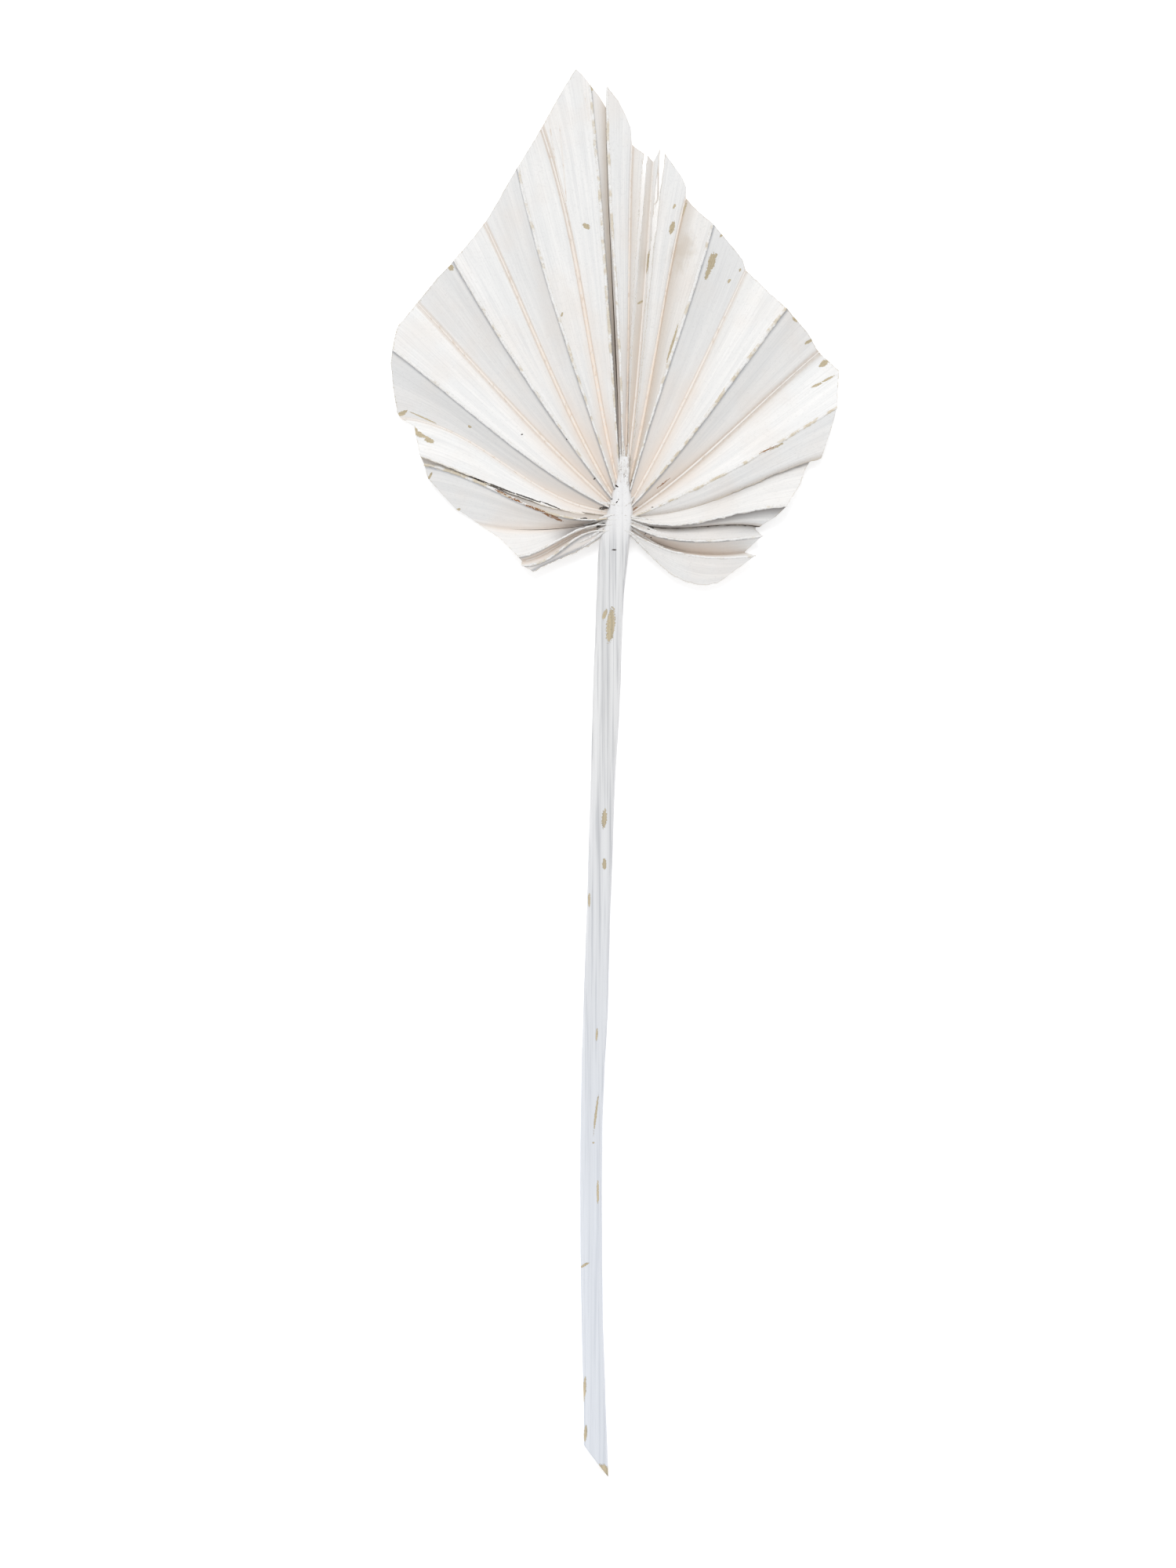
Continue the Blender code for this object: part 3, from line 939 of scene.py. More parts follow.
class Tool:
    """A Geometry Nodes tree with named sizes, which turns a guide into a plain mesh."""

    def __init__(self, name: str) -> None:
        """Make a tree with a geometry input and output.

        Args:
            name: the tree's name.
        """
        self.tree = bpy.data.node_groups.new(name, "GeometryNodeTree")
        self.sizes: dict[str, str] = {}
        for way in ("INPUT", "OUTPUT"):
            self.tree.interface.new_socket("Geometry", in_out=way, socket_type="NodeSocketGeometry")
        self.start = self.tree.nodes.new("NodeGroupInput")
        self.stop = self.tree.nodes.new("NodeGroupOutput")

    def size(self, name: str, value: float) -> object:
        """Add a named size.

        Args:
            name: the name of the tree's input.
            value: its default, whole for a count or a seed.

        Returns:
            The socket that gives it inside the tree.
        """
        kind = "NodeSocketInt" if isinstance(value, int) else "NodeSocketFloat"
        socket = self.tree.interface.new_socket(name, in_out="INPUT", socket_type=kind)
        socket.default_value = value
        self.sizes[name] = socket.identifier
        return self.start.outputs[name]

    def node(self, kind: str, settings: dict | None = None, **named: object) -> object:
        """Return a new node with its settings and then its sockets filled.

        Args:
            kind: the node's type name.
            settings: attributes of the node.
            named: constants or sockets for its inputs by name, with _ for a space.

        Returns:
            The node.
        """
        made = self.tree.nodes.new(kind)
        for key, value in (settings or {}).items():
            setattr(made, key, value)
        for key, value in named.items():
            wanted = key.replace("_", " ")
            live = [socket for socket in made.inputs if socket.name == wanted and socket.enabled]
            self.feed(live[0], value)
        return made

    def feed(self, socket: object, value: object) -> None:
        """Link an output to an input, or set the input to a constant.

        Args:
            socket: the input.
            value: an output socket or a constant.
        """
        if hasattr(value, "is_output"):
            self.tree.links.new(value, socket)
        else:
            socket.default_value = value

    def math(self, operation: str, first: object, second: object) -> object:
        """Work out one step of arithmetic.

        Args:
            operation: the Math node's operation.
            first: a constant or a socket.
            second: the same.

        Returns:
            The socket of the result.
        """
        node = self.node("ShaderNodeMath", {"operation": operation})
        self.feed(node.inputs[0], first)
        self.feed(node.inputs[1], second)
        return node.outputs[0]

    def draw(self, low: object, high: object, seed: object, stream: int) -> object:
        """Return a random number for each element.

        Args:
            low: the smallest number.
            high: the largest number.
            seed: the tool's seed.
            stream: which of the tool's draws this is.

        Returns:
            The socket of the number.
        """
        node = self.node("FunctionNodeRandomValue", {"data_type": "FLOAT"}, Min=low, Max=high,
                         Seed=self.math("ADD", seed, float(stream)))
        return next(socket for socket in node.outputs if socket.enabled)

    def close(self, geometry: object, material: bpy.types.Material) -> None:
        """End the tree in Realize Instances and Set Material.

        Args:
            geometry: the socket of the finished geometry.
            material: what it is painted with.
        """
        real = self.node("GeometryNodeRealizeInstances", Geometry=geometry)
        painted = self.node("GeometryNodeSetMaterial", Geometry=real.outputs[0], Material=material)
        self.tree.links.new(painted.outputs[0], self.stop.inputs[0])

    def run(self, guide: bpy.types.Object, name: str, **sizes: float) -> bpy.types.Object:
        """Apply the tool to a guide and return the result as a plain mesh object.

        Args:
            guide: the object that the tool follows; it is removed.
            name: the name of the new piece.
            sizes: values for the named sizes, with _ for a space.

        Returns:
            The new piece.
        """
        modifier = guide.modifiers.new("tool", "NODES")
        modifier.node_group = self.tree
        for key, value in sizes.items():
            modifier[self.sizes[key.replace("_", " ")]] = value
        bpy.context.view_layer.update()
        graph = bpy.context.evaluated_depsgraph_get()
        mesh = bpy.data.meshes.new_from_object(guide.evaluated_get(graph))
        mesh.name = name
        piece = show(name, mesh)
        bpy.data.objects.remove(guide)
        return piece


class Skin:
    """The upper side of the pieces made so far, for whatever lies on it."""

    def __init__(self, pieces: list[bpy.types.Object], throat: np.ndarray) -> None:
        """Args:
            pieces: the pieces whose faces count.
            throat: the throat's place, in metres.
        """
        self.throat = throat
        points, faces = [], []
        for piece in pieces:
            start = len(points)
            points.extend(vertex.co.copy() for vertex in piece.data.vertices)
            faces.extend([start + corner for corner in face.vertices] for face in piece.data.polygons)
        self.tree = BVHTree.FromPolygons(points, faces)

    def height(self, x: float, y: float) -> float:
        """Return how high the skin is over a plan point, or zero where there is none.

        Args:
            x: the point's place across the leaf.
            y: its place along the leaf.

        Returns:
            The height in millimetres.
        """
        above = Vector(np.array((x, y, 100.0)) * MM + self.throat)
        place = self.tree.ray_cast(above, Vector((0.0, 0.0, -1.0)))[0]
        return 0.0 if place is None else place.z / MM

    def lay(self, corners: tuple, girth: tuple[float, float, float], rise: float = 0.0) -> Guide:
        """Return a smooth line laid over the skin.

        Args:
            corners: plan points that it passes.
            girth: its thickness at its start, a third of the way along and at its end.
            rise: how far it stands above the skin, as a share of its girth.

        Returns:
            The line.
        """
        knots = np.array(corners)
        reached = distances(knots)
        places = np.arange(0.0, reached[-1], 0.5)
        plan = sampled(knots, reached, places)
        sizes = np.interp(places / reached[-1], (0.0, 0.33, 1.0), girth)
        heights = np.array([self.height(x, y) for x, y in plan])
        table = np.column_stack((plan, heights))
        for _ in range(12):
            table[1:-1] = 0.5 * table[1:-1] + 0.25 * (table[:-2] + table[2:])
        table[:, 2] += rise * sizes
        return Guide(table, sizes)

    def patch(self, name: str, corners: tuple, pitch: float = 0.5) -> bpy.types.Object:
        """Return a sheet of squares laid over the skin.

        Args:
            name: the name of the object.
            corners: the sheet's lowest and highest plan corners.
            pitch: the side of a square.

        Returns:
            The object, without the squares that would hang off the skin.
        """
        (left, front), (right, back) = corners
        across, along = np.arange(left, right, pitch), np.arange(front, back, pitch)
        points = [np.array((x, y, self.height(x, y))) * MM + self.throat for y in along for x in across]
        wide = len(across)
        starts = [row * wide + step for row in range(len(along) - 1) for step in range(wide - 1)]
        faces = [(start, start + 1, start + wide + 1, start + wide) for start in starts]
        kept = [face for face in faces if min(points[corner][2] for corner in face) > 2.0 * MM]
        mesh = bpy.data.meshes.new(name)
        mesh.from_pydata([point.tolist() for point in points], [], kept)
        return show(name, mesh)


def guide_object(name: str, guides: list[Guide], throat: np.ndarray) -> bpy.types.Object:
    """Return a mesh of edges that runs along each guide and carries its girth.

    Args:
        name: the name of the object.
        guides: the lines, in millimetres from the throat.
        throat: the throat's place, in metres.

    Returns:
        The object.
    """
    points, edges, girths, bare = [], [], [], []
    for guide in guides:
        start = len(points)
        points.extend((guide.points * MM + throat).tolist())
        girths.extend((guide.girth * MM).tolist())
        bare.extend([guide.bare] * len(guide.points))
        edges.extend((start + step, start + step + 1) for step in range(len(guide.points) - 1))
    mesh = bpy.data.meshes.new(name)
    mesh.from_pydata(points, edges, [])
    mesh.attributes.new("girth", "FLOAT", "POINT").data.foreach_set("value", girths)
    mesh.attributes.new("bare", "FLOAT", "POINT").data.foreach_set("value", bare)
    return show(name, mesh)


def rib_tool(material: bpy.types.Material) -> Tool:
    """Return the tool that lays a round rib along a line, rough or smooth.

    Args:
        material: what the result is painted with.

    Returns:
        The tool.
    """
    tool = Tool("ribs along a fold")
    pitch, rough = tool.size("Pitch", 0.8 * MM), tool.size("Roughness", 0.1 * MM)
    grain, seed = tool.size("Grain", 1.0 * MM), tool.size("Seed", 1)
    curve = tool.node("GeometryNodeMeshToCurve", Mesh=tool.start.outputs["Geometry"])
    spaced = tool.node("GeometryNodeResampleCurve", {"mode": "LENGTH"}, Curve=curve.outputs[0],
                       Length=pitch)
    girth = tool.node("GeometryNodeInputNamedAttribute", {"data_type": "FLOAT"}, Name="girth")
    ring = tool.node("GeometryNodeCurvePrimitiveCircle", Resolution=9, Radius=1.0)
    skin = tool.node("GeometryNodeCurveToMesh", Curve=spaced.outputs[0], Profile_Curve=ring.outputs[0],
                     Scale=girth.outputs[0], Fill_Caps=True)
    position = tool.node("GeometryNodeInputPosition").outputs[0]
    scaled = tool.node("ShaderNodeVectorMath", {"operation": "SCALE"}, Vector=position,
                       Scale=tool.math("DIVIDE", 1.0, grain))
    noise = tool.node("ShaderNodeTexNoise", {"noise_dimensions": "4D"}, Vector=scaled.outputs[0],
                      W=tool.math("MULTIPLY", seed, 3.7), Scale=1.0, Detail=3.0, Roughness=0.65)
    height = tool.math("MULTIPLY", tool.math("SUBTRACT", noise.outputs[0], 0.5), rough)
    offset = tool.node("ShaderNodeVectorMath", {"operation": "SCALE"},
                       Vector=tool.node("GeometryNodeInputNormal").outputs[0], Scale=height)
    moved = tool.node("GeometryNodeSetPosition", Geometry=skin.outputs[0], Offset=offset.outputs[0])
    smooth = tool.node("GeometryNodeSetShadeSmooth", Geometry=moved.outputs[0], Shade_Smooth=True)
    tool.close(smooth.outputs[0], material)
    return tool


def fibre_tool(material: bpy.types.Material) -> Tool:
    """Return the tool that sets short tapered fibres along a line.

    Args:
        material: what the result is painted with.

    Returns:
        The tool.
    """
    tool = Tool("fibres along a torn edge")
    pitch, length = tool.size("Pitch", 1.0 * MM), tool.size("Length", 2.0 * MM)
    girth, spread = tool.size("Girth", 0.08 * MM), tool.size("Spread", 0.5)
    seed = tool.size("Seed", 1)
    curve = tool.node("GeometryNodeMeshToCurve", Mesh=tool.start.outputs["Geometry"])
    spaced = tool.node("GeometryNodeResampleCurve", {"mode": "LENGTH"}, Curve=curve.outputs[0],
                       Length=pitch)
    hair = tool.node("GeometryNodeMeshCone", {"fill_type": "TRIANGLE_FAN"}, Vertices=5, Side_Segments=3,
                     Radius_Top=0.01 * MM, Radius_Bottom=girth, Depth=length)
    tangent = tool.node("GeometryNodeInputTangent")
    along = tool.node("FunctionNodeAlignRotationToVector", {"axis": "Z"}, Vector=tangent.outputs[0])
    less = tool.math("MULTIPLY", spread, -1.0)
    turn = tool.node("ShaderNodeCombineXYZ", X=tool.draw(less, spread, seed, 1),
                     Y=tool.draw(less, spread, seed, 2), Z=tool.draw(0.0, math.tau, seed, 3))
    turned = tool.node("FunctionNodeRotateRotation", {"rotation_space": "LOCAL"},
                       Rotation=along.outputs[0], Rotate_By=turn.outputs[0])
    scale = tool.draw(0.25, 1.0, seed, 4)
    placed = tool.node("GeometryNodeInstanceOnPoints", Points=spaced.outputs[0], Instance=hair.outputs[0],
                       Rotation=turned.outputs[0], Scale=scale)
    chosen = tool.node("FunctionNodeCompare", {"data_type": "FLOAT", "operation": "LESS_THAN"},
                       A=tool.draw(0.0, 1.0, seed, 5), B=0.55)
    tool.tree.links.new(chosen.outputs[0], placed.inputs["Selection"])
    tool.close(placed.outputs[0], material)
    return tool


def crumb_tool(material: bpy.types.Material) -> Tool:
    """Return the tool that scatters flattened crumbs over a surface.

    Args:
        material: what the result is painted with.

    Returns:
        The tool.
    """
    tool = Tool("crumbs of paint")
    density, radius = tool.size("Density", 1.0e5), tool.size("Radius", 0.2 * MM)
    seed = tool.size("Seed", 1)
    spots = tool.node("GeometryNodeDistributePointsOnFaces", {"distribute_method": "RANDOM"},
                      Mesh=tool.start.outputs["Geometry"], Density=density, Seed=seed)
    crumb = tool.node("GeometryNodeMeshIcoSphere", Radius=radius, Subdivisions=1)
    size = tool.node("ShaderNodeCombineXYZ", X=tool.draw(0.4, 1.2, seed, 1), Y=tool.draw(0.5, 1.8, seed, 2),
                     Z=tool.draw(0.25, 0.6, seed, 3))
    placed = tool.node("GeometryNodeInstanceOnPoints", Points=spots.outputs["Points"],
                       Instance=crumb.outputs[0], Rotation=spots.outputs["Rotation"], Scale=size.outputs[0])
    tool.close(placed.outputs[0], material)
    return tool


def flute_tool(material: bpy.types.Material) -> Tool:
    """Return the tool that raises fine ribs along a stalk, and roughens it where the pleats meet.

    Args:
        material: what the result is painted with.

    Returns:
        The tool.
    """
    tool = Tool("flutes along the stalk")
    depth, pitch = tool.size("Depth", 0.24 * MM), tool.size("Pitch", 0.8 * MM)
    run = tool.size("Run", 60.0 * MM)
    rough, grain = tool.size("Roughness", 0.7 * MM), tool.size("Grain", 1.3 * MM)
    start = tool.size("Rough From", 0.0)
    position = tool.node("GeometryNodeInputPosition").outputs[0]
    normal = tool.node("GeometryNodeInputNormal").outputs[0]
    parts = tool.node("ShaderNodeSeparateXYZ", Vector=position)
    flat = tool.node("ShaderNodeCombineXYZ", X=tool.math("DIVIDE", parts.outputs[0], pitch),
                     Y=tool.math("DIVIDE", parts.outputs[1], run),
                     Z=tool.math("DIVIDE", parts.outputs[2], pitch))
    noise = tool.node("ShaderNodeTexNoise", Vector=flat.outputs[0], Scale=1.0, Detail=2.0, Roughness=0.55)
    fluted = tool.math("MULTIPLY", tool.math("SUBTRACT", noise.outputs[0], 0.5), depth)
    lumps = tool.node("ShaderNodeCombineXYZ", X=tool.math("DIVIDE", parts.outputs[0], grain),
                      Y=tool.math("DIVIDE", parts.outputs[1], tool.math("MULTIPLY", grain, 2.2)))
    uneven = tool.node("ShaderNodeTexNoise", Vector=lumps.outputs[0], Scale=1.0, Detail=3.0, Roughness=0.6)
    near = tool.math("MULTIPLY", tool.math("SUBTRACT", parts.outputs[1], start), 90.0)
    near = tool.math("MINIMUM", tool.math("MAXIMUM", near, 0.0), 1.0)
    lumpy = tool.math("MULTIPLY", tool.math("SUBTRACT", uneven.outputs[0], 0.5),
                      tool.math("MULTIPLY", near, rough))
    offset = tool.node("ShaderNodeVectorMath", {"operation": "SCALE"}, Vector=normal,
                       Scale=tool.math("ADD", fluted, lumpy))
    moved = tool.node("GeometryNodeSetPosition", Geometry=tool.start.outputs["Geometry"],
                      Offset=offset.outputs[0])
    tool.close(moved.outputs[0], material)
    return tool


@dataclass(frozen=True)
class Station:
    """One cross-section of the stalk."""

    along: float
    middle: float
    width: float
    underside: float
    top: float


@dataclass
class Stalk:
    """The stalk, from its slanting cut to the rib that runs up into the blade."""

    name: str = "stalk_blank"
    length: float = 369.0
    slant: float = 1.3
    slant_run: float = 16.0
    arch: float = 1.3
    sides: int = 56
    pitch: float = 0.7
    blur: int = 6
    stations: tuple = (
        Station(-362.5, -7.6, 9.4, 0.0, 5.4),
        Station(-345.0, -8.0, 8.4, 0.0, 5.6),
        Station(-310.0, -9.0, 8.3, 0.0, 5.6),
        Station(-284.0, -9.4, 8.4, 0.0, 5.7),
        Station(-256.0, -9.5, 8.5, 0.0, 5.7),
        Station(-233.0, -9.3, 8.6, 0.0, 5.8),
        Station(-211.0, -8.7, 9.0, 0.0, 5.9),
        Station(-193.0, -7.9, 9.6, 0.0, 6.0),
        Station(-155.0, -6.7, 9.2, 0.0, 6.1),
        Station(-103.0, -5.0, 9.6, 0.0, 6.3),
        Station(-76.0, -3.8, 10.4, 0.0, 6.5),
        Station(-52.0, -3.0, 10.4, 0.0, 6.7),
        Station(-31.0, -2.2, 10.5, 0.0, 6.9),
        Station(-18.0, -1.2, 11.5, 0.0, 7.2),
        Station(-10.0, -0.5, 11.9, 0.2, 7.4),
        Station(-5.5, 0.6, 11.5, 0.4, 7.5),
        Station(-1.0, 1.4, 10.6, 0.8, 7.6),
        Station(2.9, 1.9, 9.4, 1.2, 7.6),
        Station(8.1, 2.1, 7.2, 1.6, 7.5),
        Station(11.0, 2.6, 5.6, 2.0, 7.4),
        Station(14.0, 2.9, 4.5, 2.4, 7.3),
        Station(21.9, 3.1, 3.6, 3.4, 7.0),
    )
    outline: tuple = ((-1.0, 0.30), (-0.80, 0.72), (-0.34, 0.97), (0.10, 0.92), (0.50, 1.0), (0.84, 0.86),
                      (1.0, 0.36), (0.94, -0.25), (0.62, -0.80), (0.0, -1.0), (-0.62, -0.80),
                      (-0.94, -0.25))

    def rounded(self) -> np.ndarray:
        """Return the section's outline as a smooth closed ring of unit half-width and half-height."""
        corners = np.array(self.outline)
        closed = np.vstack((corners, corners[:1]))
        reached = distances(closed)
        places = np.linspace(0.0, reached[-1], self.sides * 4, endpoint=False)
        ring = sampled(closed, reached, places)
        for _ in range(14):
            ring = 0.5 * ring + 0.25 * (np.roll(ring, 1, axis=0) + np.roll(ring, -1, axis=0))
        return ring[::4]

    def smooth(self, places: np.ndarray, key: str) -> np.ndarray:
        """Run one of the stations' sizes smoothly along the stalk.

        Args:
            places: places along the stalk.
            key: the name of the size.

        Returns:
            The size at each place.
        """
        known = np.array([(station.along, getattr(station, key)) for station in self.stations])
        values = np.interp(places, known[:, 0], known[:, 1])
        window = np.hanning(2 * self.blur + 1)
        padded = np.pad(values, self.blur, mode="edge")
        return np.convolve(padded, window / window.sum(), mode="valid")

    def build(self, throat: np.ndarray) -> bpy.types.Object:
        """Return the stalk as a closed loft, before its flutes.

        Args:
            throat: the throat's place, in metres.

        Returns:
            The object.
        """
        start, stop = self.stations[0].along, self.stations[-1].along
        count = int((stop - start) / self.pitch)
        places = np.linspace(start, stop, count)
        middle, width = self.smooth(places, "middle"), self.smooth(places, "width")
        low, high = self.smooth(places, "underside"), self.smooth(places, "top")
        width = width + 0.22 * ragged(places - start, 5, (34.0, 11.0, 4.0))
        lift = self.arch * np.clip(1.0 - (2.0 * places / self.length + 1.0) ** 2, 0.0, 1.0)
        near_end = np.clip(1.0 - (places - start) / self.slant_run, 0.0, 1.0)
        ring = self.rounded()
        shape = bmesh.new()
        rings = []
        for step in range(count):
            row = []
            for across, up in ring:
                x = middle[step] + 0.5 * width[step] * across
                y = places[step] - self.slant * (x - middle[step]) * near_end[step]
                z = 0.5 * (low[step] + high[step]) + 0.5 * (high[step] - low[step]) * up + lift[step]
                row.append(shape.verts.new(Vector(np.array((x, y, max(z, 0.05))) * MM + throat)))
            rings.append(row)
        for near, far in zip(rings, rings[1:]):
            for side in range(len(ring)):
                after = (side + 1) % len(ring)
                shape.faces.new((near[side], near[after], far[after], far[side]))
        self.cap(shape, rings[0], 5)
        self.cap(shape, rings[-1], 2)
        bmesh.ops.recalc_face_normals(shape, faces=shape.faces)
        mesh = bpy.data.meshes.new(self.name)
        shape.to_mesh(mesh)
        shape.free()
        mesh.shade_smooth()
        return show(self.name, mesh)

    @staticmethod
    def cap(shape: bmesh.types.BMesh, ring: list, steps: int) -> None:
        """Close one end with rings that shrink to its middle.

        Args:
            shape: the mesh being built.
            ring: the end's points.
            steps: how many bands of faces the end has.
        """
        middle = sum((vert.co for vert in ring), Vector()) / len(ring)
        outer = ring
        for step in range(1, steps):
            share = step / steps
            inner = [shape.verts.new(vert.co.lerp(middle, share)) for vert in ring]
            for side in range(len(ring)):
                after = (side + 1) % len(ring)
                shape.faces.new((outer[side], outer[after], inner[after], inner[side]))
            outer = inner
        hub = shape.verts.new(middle)
        for side in range(len(ring)):
            shape.faces.new((outer[side], outer[(side + 1) % len(ring)], hub))


# --------------------------------------------------------------------------- materials


BLADE_CHIPS = (
    Chip(36.6, 96.2, 6.6, 2.7, 76.0), Chip(35.2, 92.2, 5.4, 1.6, 70.0), Chip(37.9, 98.2, 3.0, 1.0, 60.0),
    Chip(12.1, 96.0, 8.0, 0.9, 83.0), Chip(21.6, 65.0, 14.0, 0.8, 73.0), Chip(9.4, 81.0, 3.0, 0.7, 30.0),
    Chip(-11.2, 110.0, 2.9, 1.7, -35.0), Chip(-63.3, 94.2, 3.0, 1.8, -50.0),
    Chip(-9.6, 162.4, 2.2, 1.0, -50.0), Chip(21.5, 109.6, 4.6, 1.7, 75.0),
    Chip(22.4, 117.8, 2.0, 0.8, 60.0), Chip(26.0, 116.4, 5.4, 1.0, 68.0),
    Chip(43.4, 89.3, 1.8, 0.9, 60.0), Chip(47.6, 93.6, 1.2, 0.7, 70.0), Chip(74.0, 66.2, 3.6, 1.1, 30.0),
    Chip(68.4, 74.2, 2.4, 1.1, -42.0), Chip(79.6, 57.7, 3.8, 1.9, 40.0), Chip(81.2, 51.7, 5.0, 0.8, 28.0),
    Chip(77.0, 49.4, 4.2, 0.9, 22.0), Chip(-75.4, 30.6, 5.0, 1.8, -28.0),
    Chip(-71.4, 28.0, 3.6, 1.5, -20.0), Chip(-82.0, 38.6, 4.4, 1.6, 25.0),
    Chip(-73.8, 37.0, 10.0, 0.5, -24.0), Chip(-76.5, 31.6, 3.2, 1.8, -60.0),
    Chip(-72.6, 29.4, 7.0, 0.9, -28.0), Chip(-56.0, 33.4, 1.5, 0.8, -30.0),
    Chip(-50.2, 11.2, 1.4, 0.8, 30.0), Chip(61.0, 25.8, 6.0, 1.4, 24.0),
    Chip(40.4, 106.4, 1.8, 0.8, 45.0), Chip(-20.6, 76.0, 1.8, 0.7, 70.0),
    Chip(-71.0, 14.6, 2.6, 0.9, 60.0), Chip(-60.6, 1.6, 2.2, 0.9, 30.0),
)
# near-black ovals painted as shade in the deep holes about the throat and along the slit between the lower
# left lobes
BLADE_PITS = (
    Chip(-4.6, 2.2, 3.4, 1.1, 5.0), Chip(-6.6, -4.9, 3.2, 1.2, 72.0), Chip(-12.6, -2.0, 3.0, 0.8, 10.0),
    Chip(6.4, 12.9, 1.3, 0.6, 60.0), Chip(-8.2, 13.4, 1.0, 0.5, 40.0), Chip(-18.7, 28.6, 0.9, 0.5, 40.0),
    Chip(-3.7, 8.8, 1.3, 0.4, -30.0), Chip(-15.0, 24.3, 0.6, 0.4), Chip(4.2, 26.0, 0.7, 0.4, 50.0),
    Chip(14.0, 2.5, 0.8, 0.4), Chip(13.4, -5.5, 2.2, 1.0, 10.0), Chip(9.4, -6.0, 0.7, 0.4),
    Chip(11.3, -7.6, 0.8, 0.4, 30.0), Chip(13.5, -9.0, 0.6, 0.4), Chip(-35.9, 30.4, 0.8, 0.5, 20.0),
    Chip(-52.0, 12.8, 9.0, 0.5, -21.0), Chip(-43.6, 9.6, 11.0, 0.6, -22.0),
    Chip(-34.0, 6.2, 11.0, 0.6, -19.0), Chip(-25.0, 3.3, 8.0, 0.5, -22.0),
)
BLADE_RUST = (
    Chip(7.4, 1.9, 2.8, 1.0, 28.0), Chip(-24.0, -1.2, 7.4, 1.1, -22.0), Chip(-31.0, 2.0, 8.0, 0.9, -20.0),
    Chip(-38.5, 5.4, 6.0, 0.8, -24.0), Chip(-44.0, 8.2, 5.0, 0.7, -26.0),
    Chip(18.0, 11.6, 6.0, 0.5, 38.0), Chip(58.5, 24.6, 7.0, 0.45, 25.0),
)
STAIN = Chip(25.5, 100.0, 16.0, 9.0, 70.0)
STALK_CHIPS = (
    Chip(-2.0, -42.6, 12.0, 3.0, 84.0), Chip(-4.3, -38.6, 4.0, 1.4, 70.0),
    Chip(-4.4, -116.6, 6.6, 1.8, 86.0), Chip(-4.4, -134.0, 4.4, 1.4, 90.0),
    Chip(-10.2, -147.6, 5.0, 0.8, 90.0), Chip(-7.3, -199.2, 4.6, 0.7, 86.0),
    Chip(-7.6, -229.4, 13.0, 0.8, 83.0), Chip(-8.6, -240.6, 0.8, 0.6), Chip(-6.9, -259.4, 8.2, 0.8, 90.0),
    Chip(-11.9, -287.4, 3.4, 0.9, 32.0), Chip(-12.0, -335.0, 8.6, 1.1, 86.0),
    Chip(-11.6, -352.0, 5.8, 1.1, 86.0), Chip(-4.6, -366.6, 5.6, 4.2, -50.0),
)
STALK_PITS = (
    Chip(0.3, 10.6, 1.2, 0.6, -30.0), Chip(-1.3, 8.8, 1.2, 0.5, 75.0), Chip(0.3, 4.4, 1.1, 0.4, 50.0),
    Chip(-0.7, -13.8, 1.8, 0.5, 0.0), Chip(4.5, 17.2, 0.9, 0.4, 60.0), Chip(-1.6, 5.6, 0.7, 0.3, 20.0),
    Chip(1.0, 5.4, 0.6, 0.3, 80.0), Chip(4.6, 11.0, 0.7, 0.3, 70.0), Chip(3.6, 14.4, 0.6, 0.3, 30.0),
)


class Finish(Recipe):
    """White spray paint over dried leaf, the base of every finish here."""

    def __init__(self, name: str, throat: np.ndarray) -> None:
        """Start a finish.

        Args:
            name: the material's name.
            throat: the throat's place, in metres.
        """
        super().__init__(name)
        self.throat = throat
        self.spot = self.place()

    def away_from(self, chip: Chip) -> Value:
        """Return how far a place is from an oval's middle: 1 on its outline.

        Args:
            chip: the oval.

        Returns:
            The distance.
        """
        centre = tuple(np.array((chip.x, chip.y, 0.0)) * MM + self.throat)
        halves = (0.5 * chip.length * MM, 0.5 * chip.width * MM, 1.0)
        node = self.node("ShaderNodeMapping", {"vector_type": "TEXTURE"}, self.spot, centre,
                         (0.0, 0.0, math.radians(chip.turn)), halves)
        measure = self.node("ShaderNodeVectorMath", {"operation": "LENGTH"}, Value(self, node.outputs[0]))
        return Value(self, measure.outputs["Value"])

    def chipped(self, chips: tuple[Chip, ...]) -> Value:
        """Return where the paint is off.

        Args:
            chips: the ovals that are bare.

        Returns:
            1 inside an oval and 0 outside, with a ragged border.
        """
        nearest = None
        for chip in chips:
            away = self.away_from(chip)
            nearest = away if nearest is None else nearest.least(away)
        rough = self.noise(self.spot, 1400.0, 3.0, 0.65)
        return (nearest + (rough - 0.5) * 1.6).step(1.12, 0.98)

    def bare_leaf(self, streaks: Value) -> Value:
        """Return the colour of the dried leaf under the paint.

        Args:
            streaks: noise stretched along the fibres.

        Returns:
            The colour.
        """
        light = self.mix(streaks.step(0.35, 0.65), PALETTE.bare, PALETTE.straw)
        dirt = self.noise(self.spot, 1300.0, 3.0, 0.7).step(0.56, 0.68)
        return self.mix(dirt * 0.35, light, PALETTE.soil)


